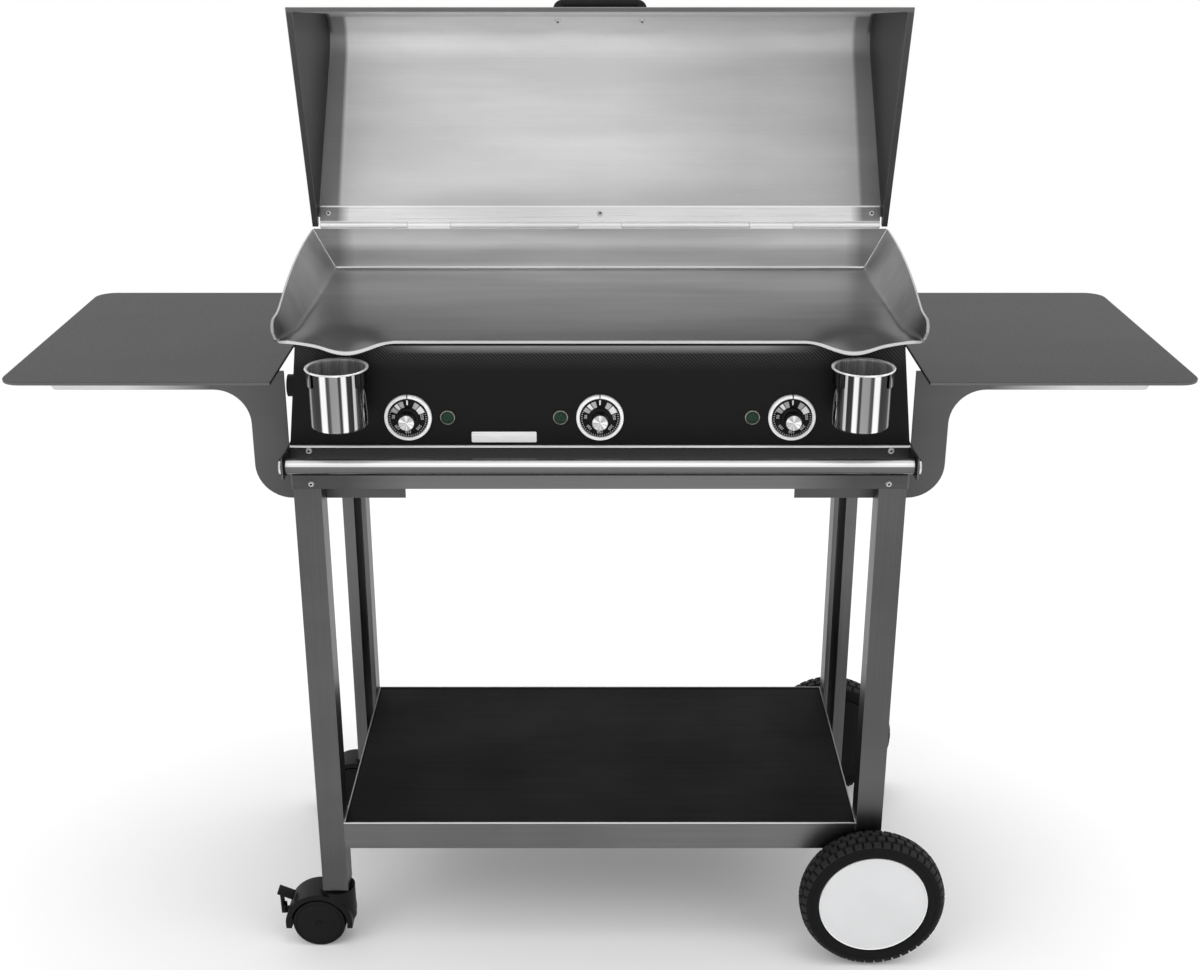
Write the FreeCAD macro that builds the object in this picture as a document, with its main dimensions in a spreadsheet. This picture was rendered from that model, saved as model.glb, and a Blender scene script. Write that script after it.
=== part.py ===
import FreeCAD, Part
import os
import re
import Sketcher

# Electric griddle on a rolling cart, millimetres and degrees.
# +X is the cart's right, +Z is up, the front faces -Y and the floor is Z = 0.
# In the formulas Y is counted backwards from the front face of the front legs;
# "fore" sizes reach forward of that face. The model is then shifted so that the
# origin lies under the middle of the whole assembly.
sizes = {
    # How far a cutting piece runs past what it cuts, and a joined piece into what it joins.
    "cutOver": 1,
    # Legs: folded channels whose slots face the inside of the cart.
    "cartHalf": 387.5,
    "cartDepth": 390,
    "legWidth": 35,
    "legDepth": 38,
    "legSheet": 1.5,
    "legOuterLip": 17,
    "legInnerLip": 6.5,
    "footAbove": 6,
    "footBelow": 25,
    # Upper rails.
    "railTop": 754,
    "railHeight": 58.5,
    "railSheet": 2,
    "railHem": 3,
    "railFlange": 25,
    # Push bar in front of the upper front rail.
    "barFore": 42,
    "barDrop": 13,
    "barRadius": 9.5,
    "barWall": 1.5,
    "collarWall": 2,
    "collarLength": 5.5,
    "collarProud": 1.2,
    "barCapLength": 3.1,
    "noseMargin": 3,
    # Lower shelf between the legs.
    "shelfTop": 201.5,
    "shelfRail": 41,
    "shelfSheet": 1.5,
    "shelfLedge": 14,
    "boardThick": 3,
    "boardDrop": 1.5,
    "boardGap": 0.5,
    # Side shelves and their brackets.
    "sideRise": 88.5,
    "sideGap": 12.5,
    "sideWidth": 333.5,
    "sideFore": 22.5,
    "sideBehind": 24,
    "sideSheet": 4,
    "sideCorner": 12,
    "bracketSheet": 2,
    "bracketGap": 7,
    "bracketShort": 45.5,
    "bracketArm": 24.5,
    "bracketNeck": 45.5,
    "bracketTail": 136.7,
    "bracketFoot": 26.5,
    "bracketDrop": 1.5,
    "bracketBend": 45,
    "bracketRound": 46,
    "bracketTip": 6,
    # Wheels on the right.
    "wheelRadius": 100,
    "tyreWidth": 44,
    "tyreShoulder": 9,
    "tyreThick": 24,
    "wheelGap": 6,
    "axleRadius": 6,
    "axleInset": 12.5,
    "axleShort": 1,
    "hubCapGap": 1.4,
    "hubCapThick": 3,
    "hubCapDepth": 3,
    "runningGap": 0.05,
    # Casters on the left.
    "casterRadius": 37.5,
    "casterWidth": 19.5,
    "casterTrail": 26,
    "casterAxle": 4,
    "casterSide": 0.5,
    "ribThick": 6,
    "hoodGap": 2,
    "hoodWall": 7.5,
    "hoodLow": 30,
    "columnRadius": 24,
    "columnGap": 3,
    "stemRadius": 5.5,
    "stemLength": 28,
    "stemGap": 4,
    "socketRoof": 2,
    # Brake levers of the casters.
    "pivotGap": 4,
    "pivotUp": 8.5,
    "pivotRadius": 2,
    "lugHalf": 4,
    "leverGap": 0.4,
    "leverSheet": 3,
    "leverHeight": 33,
    "tabLength": 24,
    "tabHalf": 9,
    "tabThick": 4,
    # Griddle plate.
    "panelHeight": 139,
    "plateSheet": 4,
    "plateFore": 30,
    "plateShort": 55,
    "creaseInset": 15.5,
    "guardFlare": 27.9,
    "guardSheet": 3,
    "guardLow": 0.5,
    "guardFront": 24,
    "guardOver": 8,
    "guardCorner": 12,
    "guardSweep": 2480,
    "guardRoot": 5,
    "splashHeight": 57,
    "spoutInset": 66,
    "spoutRadius": 110,
    "spoutDrop": 15,
    "spoutRun": 75,
    "spoutGap": 0.5,
    # Housing under the plate and what it holds.
    "panelInset": 0.5,
    "panelTuck": 0.4,
    "panelSheet": 1.5,
    "housingInset": 1,
    "housingSheet": 1.5,
    "coverMargin": 70,
    "coverEdge": 22,
    "coverLap": 10,
    "coverSheet": 1.5,
    "boardUnder": 9,
    "insulation": 15,
    "insulationFore": 72,
    "insulationGap": 3,
    "ledgeWidth": 28,
    "elementRadius": 4,
    "elementHalf": 55,
    "elementFore": 62,
    "elementBehind": 18,
    "bodyHalf": 20,
    "bodyDepth": 32,
    "boreDepth": 24,
    "capillaryRadius": 1.2,
    "capillaryBack": 60,
    "bulbRadius": 3,
    "bulbLength": 80,
    "terminalInset": 47.5,
    "terminalWidth": 50,
    "terminalBehind": 105,
    "terminalDepth": 30,
    "terminalHeight": 24,
    "loomRadius": 3,
    "feedRadius": 2.5,
    "riserRadius": 2.2,
    "branchRadius": 1.6,
    "loomBack": 45,
    "loomRise": 10,
    "glandBack": 25,
    "glandRise": 70,
    "glandRadius": 14,
    "glandNeck": 9,
    "glandProud": 11,
    "glandInside": 14,
    # Dials and pilot lights on the control panel.
    "dialAside": 78,
    "dialRise": 37,
    "bezelWide": 5.5,
    "bezelThick": 5,
    "dialRadius": 24,
    "dialThick": 4,
    "dialGap": 0.5,
    "knobRadius": 10.5,
    "knobProud": 24,
    "spindleRadius": 3,
    "spindleReach": 20,
    "pilotAside": 49,
    "pilotRim": 2.5,
    "pilotThick": 2.5,
    "lensRadius": 6.8,
    "lensProud": 4,
    "nameLeft": 160,
    "nameWidth": 81,
    "nameRise": 4,
    "nameHeight": 14,
    "nameThick": 0.8,
    # Grease cups in their spring clips.
    "cupOut": 10,
    "cupGap": 5,
    "cupRadius": 35,
    "rimOver": 3.5,
    "cupDrop": 27,
    "cupHeight": 75,
    "cupWall": 0.8,
    "rimThick": 3,
    "clipGap": 0.4,
    "clipSheet": 1.5,
    "clipHeight": 17,
    "clipOpen": 48,
    "clipTab": 10,
    # Lid and its hinge; along and up are counted from the hinge axis with the lid level.
    "hingeBehind": 7,
    "hingeRise": 3.5,
    "pinRadius": 3,
    "pinShort": 3,
    "knuckleWall": 2,
    "knuckleHalf": 30,
    "knuckleInset": 152,
    "knuckleGap": 0.5,
    "knuckleShort": 1,
    "knuckleNotch": 0.6,
    "strapSheet": 2.5,
    "strapHeight": 30,
    "lidOpen": 60,
    "lidOver": 8.5,
    "lidTaper": 0.045,
    "lidFlare": 0.05,
    "lidFore": 5,
    "lidRear": 7,
    "lidSheet": 1.2,
    "rearSlope": 52,
    "frontSlope": 54.6,
    "ridgeRadius": 46,
    "lidFlange": 8,
    "lidLip": 6,
    "earBehind": 3,
    "earRise": 5,
    "leafShort": 3,
    "leafSheet": 2,
    "leafStart": 4,
    "leafEnd": 27,
    "leafScrew": 16,
    "leafScrewInset": 12,
    "handleHalf": 65,
    "handleFoot": 13,
    "handleWide": 20,
    "handleThick": 12,
    "handleRise": 17,
    "handleLean": 18,
    # Fasteners.
    "headOver": 1.2,
    "boltRadius": 3,
    "boltHeadThick": 3,
    "boltLength": 8,
    "boltAside": 23.5,
    "boltInset": 7,
    "screwRadius": 2,
    "screwHeadThick": 2,
    "screwLength": 9,
}

# Sizes that follow from others, so that pieces keep together when one of them changes.
tied = {
    "rightFoot": "wheelRadius - footBelow",
    "rimRadius": "wheelRadius - tyreThick",
    "hubCapRadius": "rimRadius - hubCapGap",
    "hoodRadius": "casterRadius + hoodGap + hoodWall",
    "leftFoot": "casterRadius + hoodRadius + footAbove",
    "pivotOut": "hoodRadius + pivotGap",
    "socketHeight": "stemLength + stemGap + socketRoof",
    "barHeight": "railTop - barDrop",
    "boltAcross": "cartHalf - boltAside",
    "boltHead": "boltRadius + headOver",
    "screwHead": "screwRadius + headOver",
    "sideTop": "railTop + sideRise",
    "sideInner": "cartHalf + railSheet + sideGap",
    "sideDepth": "cartDepth + sideFore + sideBehind",
    "bracketReach": "sideInner + sideWidth - bracketShort",
    "bracketRoot": "cartHalf - bracketTail",
    "plateTop": "railTop + panelHeight + plateSheet",
    "plateBack": "cartDepth - plateShort",
    "creaseHalf": "cartHalf - creaseInset",
    "guardRear": "splashHeight - guardLow",
    "spoutAcross": "creaseHalf - spoutInset",
    "panelHalfLow": "cartHalf - panelInset",
    "panelHalfHigh": "creaseHalf - panelTuck",
    "housingBack": "plateBack + guardSheet",
    "elementRun": "plateBack - elementFore - elementHalf - elementBehind",
    "terminalLeft": "cartHalf - terminalInset",
    "terminalFore": "plateBack - terminalDepth - terminalBehind",
    "glandHeight": "railTop + glandRise",
    "cupAcross": "spoutAcross + cupOut",
    "cupRim": "cupRadius + rimOver",
    "cupFore": "panelSheet + cupGap + cupRim",
    "cupTop": "plateTop - cupDrop",
    "dialAcross": "cupAcross - dialAside",
    "dialHeight": "railTop + dialRise",
    "bezelRadius": "dialRadius + dialGap + bezelWide",
    "pilotRadius": "lensRadius + pilotRim",
    "nameLow": "railTop + nameRise",
    "hingeBack": "plateBack + guardSheet + hingeBehind",
    "hingeHeight": "plateTop + splashHeight + hingeRise",
    "lidHalf": "cartHalf + lidOver",
    "lidChord": "hingeBack + lidFore",
    "pinHalf": "lidHalf - pinShort",
    "knuckleRadius": "pinRadius + knuckleWall",
    "knuckleOuter": "pinHalf - knuckleShort",
    "knucklePitch": "knuckleOuter - knuckleInset",
    "leafHalf": "lidHalf - leafShort",
    "leafScrewAcross": "leafHalf - leafScrewInset",
}

# Formulas that several pieces share.
ridge_reach = "ridgeRadius / cos((rearSlope + frontSlope) / 2)"
apex_along = "lidChord * tan(frontSlope) / (tan(rearSlope) + tan(frontSlope))"
apex_up = f"{apex_along} * tan(rearSlope)"
ridge_along = f"({apex_along} + {ridge_reach} * sin((rearSlope - frontSlope) / 2))"
ridge_up = f"({apex_up} - {ridge_reach} * cos((rearSlope - frontSlope) / 2))"
handle_foot = "(ridgeRadius + lidSheet + handleRise)"
handle_top = f"({handle_foot} + handleThick)"
handle_turn = "(lidOpen - handleLean)"
handle_back = (f"(hingeBack - {ridge_along} * cos(lidOpen) + {ridge_up} * sin(lidOpen)"
               f" + {handle_top} * sin({handle_turn}) + handleWide / 2 * cos({handle_turn}))")
middle = f"(({handle_back} - cupFore - cupRim) / 2)"
leg_inner = "(cartHalf - legWidth)"
leg_top = "(railTop - railSheet)"
rail_low = "(railTop - railHeight)"
rail_outer = "(cartHalf + railSheet)"
plate_under = "(railTop + panelHeight)"
panel_front = "(-panelSheet)"
swivel_across = "(legWidth / 2 - cartHalf)"
caster_back = "(legDepth / 2)"
caster_across = f"({swivel_across} - casterTrail)"
caster_half = "(ribThick / 2 + casterSide + casterWidth)"
element_height = f"({plate_under} - elementRadius)"
board_top = f"({plate_under} - boardUnder)"
axle_across = "(cartHalf - axleInset)"

doc = FreeCAD.newDocument("griddle_cart")
sheet = doc.addObject("Spreadsheet::Sheet", "Sheet")
aliases = {**sizes, **tied}
for row, (alias, entry) in enumerate(aliases.items(), 1):
    sheet.set(f"A{row}", alias)
    sheet.setAlias(f"B{row}", alias)
    sheet.set(f"B{row}", f"={entry}" if alias in tied else str(entry))
doc.recompute()
nodes = []


def formula(text):
    """Write a formula so that it reads its sizes from the sheet."""
    return re.sub(r"[A-Za-z_]\w*", lambda word: "Sheet." * (word[0] in aliases) + word[0], text)


def value(text):
    """Work a formula out with the present sizes."""
    answer = sheet.evalExpression(text)
    return float(getattr(answer, "Value", answer))


def place(thing, x="0", y="0", z="0", local=False):
    """Bind where a piece starts; local pieces are not counted from the legs' front face."""
    shift = "" if local else f" - {middle}"
    for letter, text in zip("xyz", (x, f"{y}{shift}", z)):
        thing.setExpression("Placement.Base." + letter, formula(text))


def turn(thing, axis, angle):
    """Bind how a piece is turned about its start."""
    for letter, text in zip("xyz", axis):
        thing.setExpression("Placement.Rotation.Axis." + letter, formula(text))
    thing.setExpression("Placement.Rotation.Angle", formula(angle))


def box(name, x, y, z, local=False):
    """A block between two formulas along each axis."""
    block = doc.addObject("Part::Box", name)
    for size, (low, high) in zip(("Length", "Width", "Height"), (x, y, z)):
        block.setExpression(size, formula(f"({high}) - ({low})"))
    place(block, x[0], y[0], z[0], local)
    return block


def rod(name, x, y, z, radius, local=False):
    """A cylinder along the axis that is given as a pair of formulas."""
    bar = doc.addObject("Part::Cylinder", name)
    bar.setExpression("Radius", formula(radius))
    spans = [item for item in (x, y, z) if isinstance(item, tuple)]
    low, high = spans[0]
    bar.setExpression("Height", formula(f"({high}) - ({low})"))
    starts = [low if isinstance(item, tuple) else item for item in (x, y, z)]
    place(bar, *starts, local)
    if isinstance(x, tuple):
        turn(bar, ("0", "1", "0"), "90")
    elif isinstance(y, tuple):
        turn(bar, ("1", "0", "0"), "-90")
    return bar


def taper(name, low_half, high_half, y, z):
    """A plate or block that narrows upwards, the same on both sides."""
    wedge = doc.addObject("Part::Wedge", name)
    depth = f"({y[1]}) - ({y[0]})"
    bounds = {"Xmin": f"-({low_half})", "Xmax": low_half, "X2min": f"-({high_half})", "X2max": high_half,
              "Ymin": "0", "Ymax": f"({z[1]}) - ({z[0]})", "Zmin": "0", "Zmax": depth, "Z2min": "0",
              "Z2max": depth}
    for side, text in bounds.items():
        wedge.setExpression(side, formula(text))
    place(wedge, "0", y[1], z[0])
    turn(wedge, ("1", "0", "0"), "90")
    return wedge


def cut(name, base, *tools):
    """A piece with other pieces taken out of it."""
    result = doc.addObject("Part::Cut", name)
    result.Base = base
    result.Tool = tools[0] if len(tools) == 1 else group(name + "_tools", *tools)
    return result


def join(name, *pieces):
    """Several pieces made into one solid."""
    result = doc.addObject("Part::MultiFuse", name)
    result.Shapes = list(pieces)
    return result


def common(name, base, tool):
    """What two pieces share."""
    result = doc.addObject("Part::Common", name)
    result.Base = base
    result.Tool = tool
    return result


def group(name, *pieces):
    """Several separate solids kept together."""
    result = doc.addObject("Part::Compound", name)
    result.Links = list(pieces)
    return result


def mirror(name, piece, front=False):
    """The piece on the other side, or at the rear of the cart."""
    result = doc.addObject("Part::Mirroring", name)
    result.Source = piece
    result.Normal = FreeCAD.Vector(0, 1, 0) if front else FreeCAD.Vector(1, 0, 0)
    if front:
        result.setExpression("Base.y", formula(f"cartDepth / 2 - {middle}"))
    return result


def bow(start, end, radius):
    """A side of an outline that curves outwards between two of its corners."""
    chord = end - start
    inward = FreeCAD.Vector(-chord.y, chord.x, 0).normalize()
    centre = start + chord / 2 + inward * (radius ** 2 - chord.Length ** 2 / 4) ** 0.5
    circle = Part.Circle(centre, FreeCAD.Vector(0, 0, 1), radius)
    return Part.ArcOfCircle(circle, circle.parameter(start), circle.parameter(end))


def outline(name, plane, corners, depth, rounds=(), bows={}):
    """A plate cut to a closed outline, with some of its corners rounded and some of its sides bowed."""
    body = doc.addObject("PartDesign::Body", name)
    sketch = body.newObject("Sketcher::SketchObject", name + "_sketch")
    face = next(item for item in body.Origin.OriginFeatures if item.Role == plane)
    sketch.AttachmentSupport = [(face, "")]
    sketch.MapMode = "FlatFace"
    points = [FreeCAD.Vector(value(across), value(up), 0) for across, up in corners]
    count = len(points)
    for i, point in enumerate(points):
        end = points[(i + 1) % count]
        sketch.addGeometry(bow(point, end, value(bows[i])) if i in bows else Part.LineSegment(point, end))
    for i in range(count):
        sketch.addConstraint(Sketcher.Constraint("Coincident", i, 2, (i + 1) % count, 1))
    for i, corner in enumerate(corners):
        for kind, text in zip(("DistanceX", "DistanceY"), corner):
            number = sketch.addConstraint(Sketcher.Constraint(kind, -1, 1, i, 1, value(text)))
            sketch.setExpression(f"Constraints[{number}]", formula(text))
    for i, radius in bows.items():
        number = sketch.addConstraint(Sketcher.Constraint("Radius", i, value(radius)))
        sketch.setExpression(f"Constraints[{number}]", formula(radius))
    feature = body.newObject("PartDesign::Pad", name + "_pad")
    feature.Profile = sketch
    feature.setExpression("Length", formula(depth))
    doc.recompute()
    flat = {"XY_Plane": (0, 1), "XZ_Plane": (0, 2), "YZ_Plane": (1, 2)}[plane]
    for i, radius in rounds:
        edges = [f"Edge{n}" for n, edge in enumerate(feature.Shape.Edges, 1)
                 if all(abs(v.Point[flat[0]] - points[i].x) + abs(v.Point[flat[1]] - points[i].y) < 1e-4
                        for v in edge.Vertexes)]
        fillet = body.newObject("PartDesign::Fillet", name + "_round")
        fillet.Base = (feature, edges)
        fillet.setExpression("Radius", formula(radius))
        feature = fillet
        doc.recompute()
    body.Tip = feature
    return body


def node(label, piece):
    """Hand a finished piece in under the name of its file."""
    piece.Label = label
    nodes.append(piece)
    return piece


def bolt(name, x, y, z, inwards, shank, head, thick, length):
    """A fastener whose head lies on the given point and whose shank runs inwards along X or Y."""
    along, sign = inwards
    start = x if along == "x" else y
    spans = [(f"{start} - {thick}", start), (start, f"{start} + {length}")]
    if sign < 0:
        spans = [(start, f"{start} + {thick}"), (f"{start} - {length}", start)]
    pieces = [rod(name, span if along == "x" else x, span if along == "y" else y, z, radius)
              for span, radius in zip(spans, (head, shank))]
    return join(name, *pieces)


def lid_place(thing, along="0", up="0", lean="0"):
    """Set a lid piece at a point of the lid, which stands open on its hinge."""
    place(thing, "0", f"hingeBack - ({along}) * cos(lidOpen) + ({up}) * sin(lidOpen)",
          f"hingeHeight + ({along}) * sin(lidOpen) + ({up}) * cos(lidOpen)")
    turn(thing, ("1", "0", "0"), f"({lean}) - lidOpen")
    return thing


# Fasteners of the cart frame.
frame_bolts = []
for height in ("railTop - boltInset", f"{rail_low} + boltInset"):
    frame_bolts.append(bolt("rail_bolt", "boltAcross", "-railSheet", height, ("y", 1),
                            "boltRadius", "boltHead", "boltHeadThick", "boltLength"))
frame_bolts.append(bolt("shelf_bolt", f"{leg_inner} - shelfSheet", "legDepth / 2",
                        "shelfTop - shelfRail / 2", ("x", 1),
                        "boltRadius", "boltHead", "boltHeadThick", "boltLength"))
frame_bolts.append(bolt("bracket_bolt", "cartHalf - legOuterLip / 2", "legDepth + bracketSheet",
                        f"{rail_low} - bracketDrop - bracketFoot / 2", ("y", -1),
                        "boltRadius", "boltHead", "boltHeadThick", "boltLength"))
right_bolts = group("right_bolts", *frame_bolts)
front_bolts = group("front_bolts", right_bolts, mirror("left_bolts", right_bolts))
bolts = group("all_bolts", front_bolts, mirror("rear_bolts", front_bolts, True))
node("frame_bolts", bolts)

# Legs and what is let into them.
axle = rod("axle", axle_across, ("-wheelGap - tyreWidth + hubCapDepth + hubCapThick + axleShort",
           "cartDepth + wheelGap + tyreWidth - hubCapDepth - hubCapThick - axleShort"), "wheelRadius",
           "axleRadius")


def leg(name, side, foot):
    """One front leg; side is 1 on the right and -1 on the left."""
    faces = [f"{side} * cartHalf", f"{side} * {leg_inner}"]
    walls = [f"{side} * (cartHalf - legSheet)", f"{side} * ({leg_inner} + legSheet)"]
    lips = [f"{side} * (cartHalf - legOuterLip)", f"{side} * ({leg_inner} + legInnerLip)"]
    outer, inner, slot = (tuple(pair[::-side]) for pair in (faces, walls, lips))
    return cut(name, box(name, outer, ("0", "legDepth"), (foot, leg_top)),
               box(name, inner, ("legSheet", "legDepth - legSheet"),
                   (f"{foot} - cutOver", f"{leg_top} + cutOver")),
               box(name, slot, ("legDepth / 2", "legDepth + cutOver"),
                   (f"{foot} - cutOver", f"{leg_top} + cutOver")),
               axle, front_bolts)


front_legs = group("legs", leg("left_leg", -1, "leftFoot"), leg("right_leg", 1, "rightFoot"))
node("front_legs", front_legs)
node("rear_legs", mirror("legs_behind", front_legs, True))

# Upper rails.
front_rail = join("front_rail",
                  box("rail_plate", ("-cartHalf", "cartHalf"), ("-railSheet", "0"),
                      (rail_low, "railTop")),
                  box("rail_hem", ("-cartHalf", "cartHalf"), ("-railSheet - railHem", "0"),
                      (leg_top, "railTop")))
front_rail = cut("drilled_rail", front_rail, front_bolts)
node("upper_front_rail", front_rail)
node("upper_rear_rail", mirror("rear_rail", front_rail, True))

collar_radius = "(barRadius + collarWall)"
nose = f"({collar_radius} + noseMargin)"
side_plate = outline("side_plate", "YZ_Plane", [
    ("cartDepth + railSheet", rail_low), ("cartDepth + railSheet", "railTop"),
    (f"{nose} - barFore", "railTop"), (f"{nose} / 2 - barFore", f"barHeight + {nose}"),
    (f"-barFore - {nose}", f"barHeight + {nose}"), (f"-barFore - {nose}", f"barHeight - {nose}"),
    ("-railSheet", f"barHeight - {nose}"), ("-railSheet", rail_low)],
    "railSheet", [(4, "noseMargin * 2"), (5, "noseMargin * 2")])
place(side_plate, "cartHalf")
side_flange = box("side_flange", ("cartHalf - railFlange + railSheet", "cartHalf"),
                  ("legDepth", "cartDepth - legDepth"), (leg_top, "railTop"))
right_side_rail = cut("side_rail", join("side_rail", side_plate, side_flange),
                      rod("collar_hole", ("cartHalf - cutOver", f"{rail_outer} + cutOver"), "-barFore",
                          "barHeight", collar_radius))
node("upper_side_rails", group("side_rails", right_side_rail, mirror("left_side_rail", right_side_rail)))

# Push bar.
bar_end = f"({rail_outer} + collarProud)"
node("push_bar", cut("bar", rod("bar", (f"-{bar_end}", bar_end), "-barFore", "barHeight", "barRadius"),
                     rod("bar_bore", (f"-{bar_end} - cutOver", f"{bar_end} + cutOver"), "-barFore",
                         "barHeight",
                         "barRadius - barWall")))
collar = cut("collar", rod("collar", (f"{bar_end} - collarLength", bar_end), "-barFore", "barHeight",
                           collar_radius),
             rod("collar_bore", (f"{bar_end} - collarLength - cutOver", f"{bar_end} + cutOver"),
                 "-barFore", "barHeight",
                 "barRadius"))
node("push_bar_collars", group("collars", collar, mirror("left_collar", collar)))
bar_cap = join("bar_cap", rod("cap_disc", (bar_end, f"{bar_end} + barCapLength"), "-barFore", "barHeight",
                              "barRadius"),
               rod("cap_plug", (f"{bar_end} - collarLength", bar_end), "-barFore", "barHeight",
                   "barRadius - barWall"))
node("push_bar_caps", group("caps", bar_cap, mirror("left_cap", bar_cap)))

# Lower shelf: rails bolted to the inner faces of the legs and a panel set into them.
shelf_rail = ("shelfTop - shelfRail", "shelfTop")
ledge = ("shelfTop - boardDrop - boardThick - shelfSheet", "shelfTop - boardDrop - boardThick")
rail_face = f"({leg_inner} - shelfSheet)"
side_run = ("0", "cartDepth")
right_shelf_rail = join("right_shelf_rail", box("shelf_side", (rail_face, leg_inner), side_run,
                                                shelf_rail),
                        box("shelf_ledge", (f"{rail_face} - shelfLedge", leg_inner),
                            ("shelfSheet + shelfLedge", "cartDepth - shelfSheet - shelfLedge"), ledge))
right_shelf_rail = cut("drilled_shelf_rail", right_shelf_rail, bolts)
front_shelf_rail = join("front_shelf_rail", box("shelf_front", (f"-{rail_face}", rail_face),
                                                ("0", "shelfSheet"),
                                                shelf_rail),
                        box("front_ledge", (f"-{rail_face}", rail_face), ("0", "shelfSheet + shelfLedge"),
                            ledge))
node("lower_shelf_rails", group("shelf_rails", right_shelf_rail,
                                mirror("left_shelf_rail", right_shelf_rail),
                                front_shelf_rail, mirror("rear_shelf_rail", front_shelf_rail, True)))
board_half = f"({rail_face} - boardGap)"
node("lower_shelf_panel", box("board", (f"-{board_half}", board_half),
                              ("shelfSheet + boardGap", "cartDepth - shelfSheet - boardGap"),
                              (ledge[1], "shelfTop - boardDrop")))

# Side shelves on their brackets.
side_outer = "(sideInner + sideWidth)"
right_shelf = outline("right_shelf", "XY_Plane", [
    ("sideInner", "-sideFore"), (side_outer, "-sideFore"),
    (side_outer, "sideDepth - sideFore"), ("sideInner", "sideDepth - sideFore")],
    "sideSheet", [(1, "sideCorner"), (2, "sideCorner")])
place(right_shelf, "0", "0", "sideTop - sideSheet")
node("side_shelf_right", right_shelf)
node("side_shelf_left", mirror("left_shelf", right_shelf))
bracket_top = "(sideTop - sideSheet)"
bracket_inner = f"({rail_outer} + bracketGap)"
bracket_foot = f"({rail_low} - bracketDrop)"
bracket = outline("bracket", "XZ_Plane", [
    (bracket_inner, bracket_foot), (bracket_inner, bracket_top), ("bracketReach", bracket_top),
    ("bracketReach", f"{bracket_top} - bracketArm"),
    (f"{bracket_inner} + bracketNeck", f"{bracket_top} - bracketArm"),
    (f"{bracket_inner} + bracketNeck", f"{bracket_foot} - bracketFoot"),
    ("bracketRoot", f"{bracket_foot} - bracketFoot"),
    ("bracketRoot", bracket_foot)],
    "bracketSheet", [(3, "bracketTip"), (4, "bracketBend"), (5, "bracketRound")])
place(bracket, "0", "legDepth + bracketSheet")
bracket = cut("drilled_bracket", bracket, bolts)
bracket_pair = group("bracket_pair", bracket, mirror("left_bracket", bracket))
node("shelf_brackets", group("brackets", bracket_pair, mirror("rear_brackets", bracket_pair, True)))

# Wheels on a common axle through the right legs.
node("wheel_axle", axle)
tyre_face = "(-wheelGap - tyreWidth)"
tyre_span = (tyre_face, "-wheelGap")
tyre = cut("tyre_ring", rod("tyre", axle_across, tyre_span, "wheelRadius", "wheelRadius"),
           rod("tyre_bore", axle_across, (f"{tyre_face} - cutOver", "cutOver - wheelGap"), "wheelRadius",
               "rimRadius"))
doc.recompute()
tyre_round = doc.addObject("Part::Fillet", "tyre")
tyre_round.Base = tyre
tyre_round.Edges = [(n, value("tyreShoulder"), value("tyreShoulder")) for n,
                    edge in enumerate(tyre.Shape.Edges, 1)
                    if isinstance(edge.Curve,
                                  Part.Circle) and abs(edge.Curve.Radius - value("wheelRadius")) < 1e-6]
hub_face = f"({tyre_face} + hubCapDepth + hubCapThick)"
hub = cut("hub", rod("hub", axle_across, (hub_face, "-wheelGap"), "wheelRadius", "rimRadius"),
          rod("hub_bore", axle_across, (f"{hub_face} - cutOver", "cutOver - wheelGap"), "wheelRadius",
              "axleRadius + runningGap"))
hub_cap = rod("hub_cap", axle_across, (f"{tyre_face} + hubCapDepth", hub_face), "wheelRadius",
              "hubCapRadius")
for label, piece in (("tyre", tyre_round), ("hub", hub), ("hub_cap", hub_cap)):
    node("front_" + label, piece)
    node("rear_" + label, mirror("rear_" + label, piece, True))

# Casters: a hood over two wheels, swivelling on a stem in a socket in the leg.
hood_top = "(leftFoot - columnGap)"
wheel_inner = "(ribThick / 2 + casterSide)"
near_span = (f"{caster_back} - {caster_half}", f"{caster_back} - {wheel_inner}")
far_span = (f"{caster_back} + {wheel_inner}", f"{caster_back} + {caster_half}")
hood_span = (f"{caster_back} - {caster_half}", f"{caster_back} + {caster_half}")
pivot_across = f"({caster_across} - pivotOut)"
pivot_height = "(casterRadius + pivotUp)"
rib_span = (f"{caster_back} - ribThick / 2", f"{caster_back} + ribThick / 2")
hood = join("hood", rod("hood", caster_across, hood_span, "casterRadius", "hoodRadius"),
            rod("column", swivel_across, caster_back, ("casterRadius", hood_top), "columnRadius"))
hood = cut("hood_wells", hood,
           rod("near_well", caster_across, (f"{hood_span[0]} - casterSide - columnRadius", rib_span[0]),
               "casterRadius",
               "casterRadius + hoodGap"),
           rod("far_well", caster_across, (rib_span[1], f"{hood_span[1]} + casterSide + columnRadius"),
               "casterRadius",
               "casterRadius + hoodGap"),
           box("hood_foot", (f"{caster_across} - 2 * hoodRadius", f"{caster_across} + 3 * hoodRadius"),
               (f"{hood_span[0]} - columnRadius", f"{hood_span[1]} + columnRadius"),
               ("casterRadius - 2 * hoodRadius", "hoodLow")))
lug = box("lug", (f"{pivot_across} - lugHalf", f"{caster_across} - casterRadius"), rib_span,
          (f"{pivot_height} - lugHalf", f"{pivot_height} + lugHalf"))
caster = join("caster", hood, lug,
              rod("caster_axle", caster_across, hood_span, "casterRadius", "casterAxle"),
              rod("stem", swivel_across, caster_back,
                  (f"{hood_top} - cutOver", f"{hood_top} + columnGap + stemLength"),
                  "stemRadius"))
caster = cut("caster_body", caster, rod("pivot_bore", pivot_across,
                                        (f"{rib_span[0]} - cutOver", f"{rib_span[1]} + cutOver"),
                                        pivot_height, "pivotRadius + runningGap"))


def caster_wheel(name, span):
    """One of the two wheels of a caster."""
    return cut(name, rod(name, caster_across, span, "casterRadius", "casterRadius"),
               rod(name, caster_across, (f"{span[0]} - cutOver", f"{span[1]} + cutOver"), "casterRadius",
                   "casterAxle + runningGap"))


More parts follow.
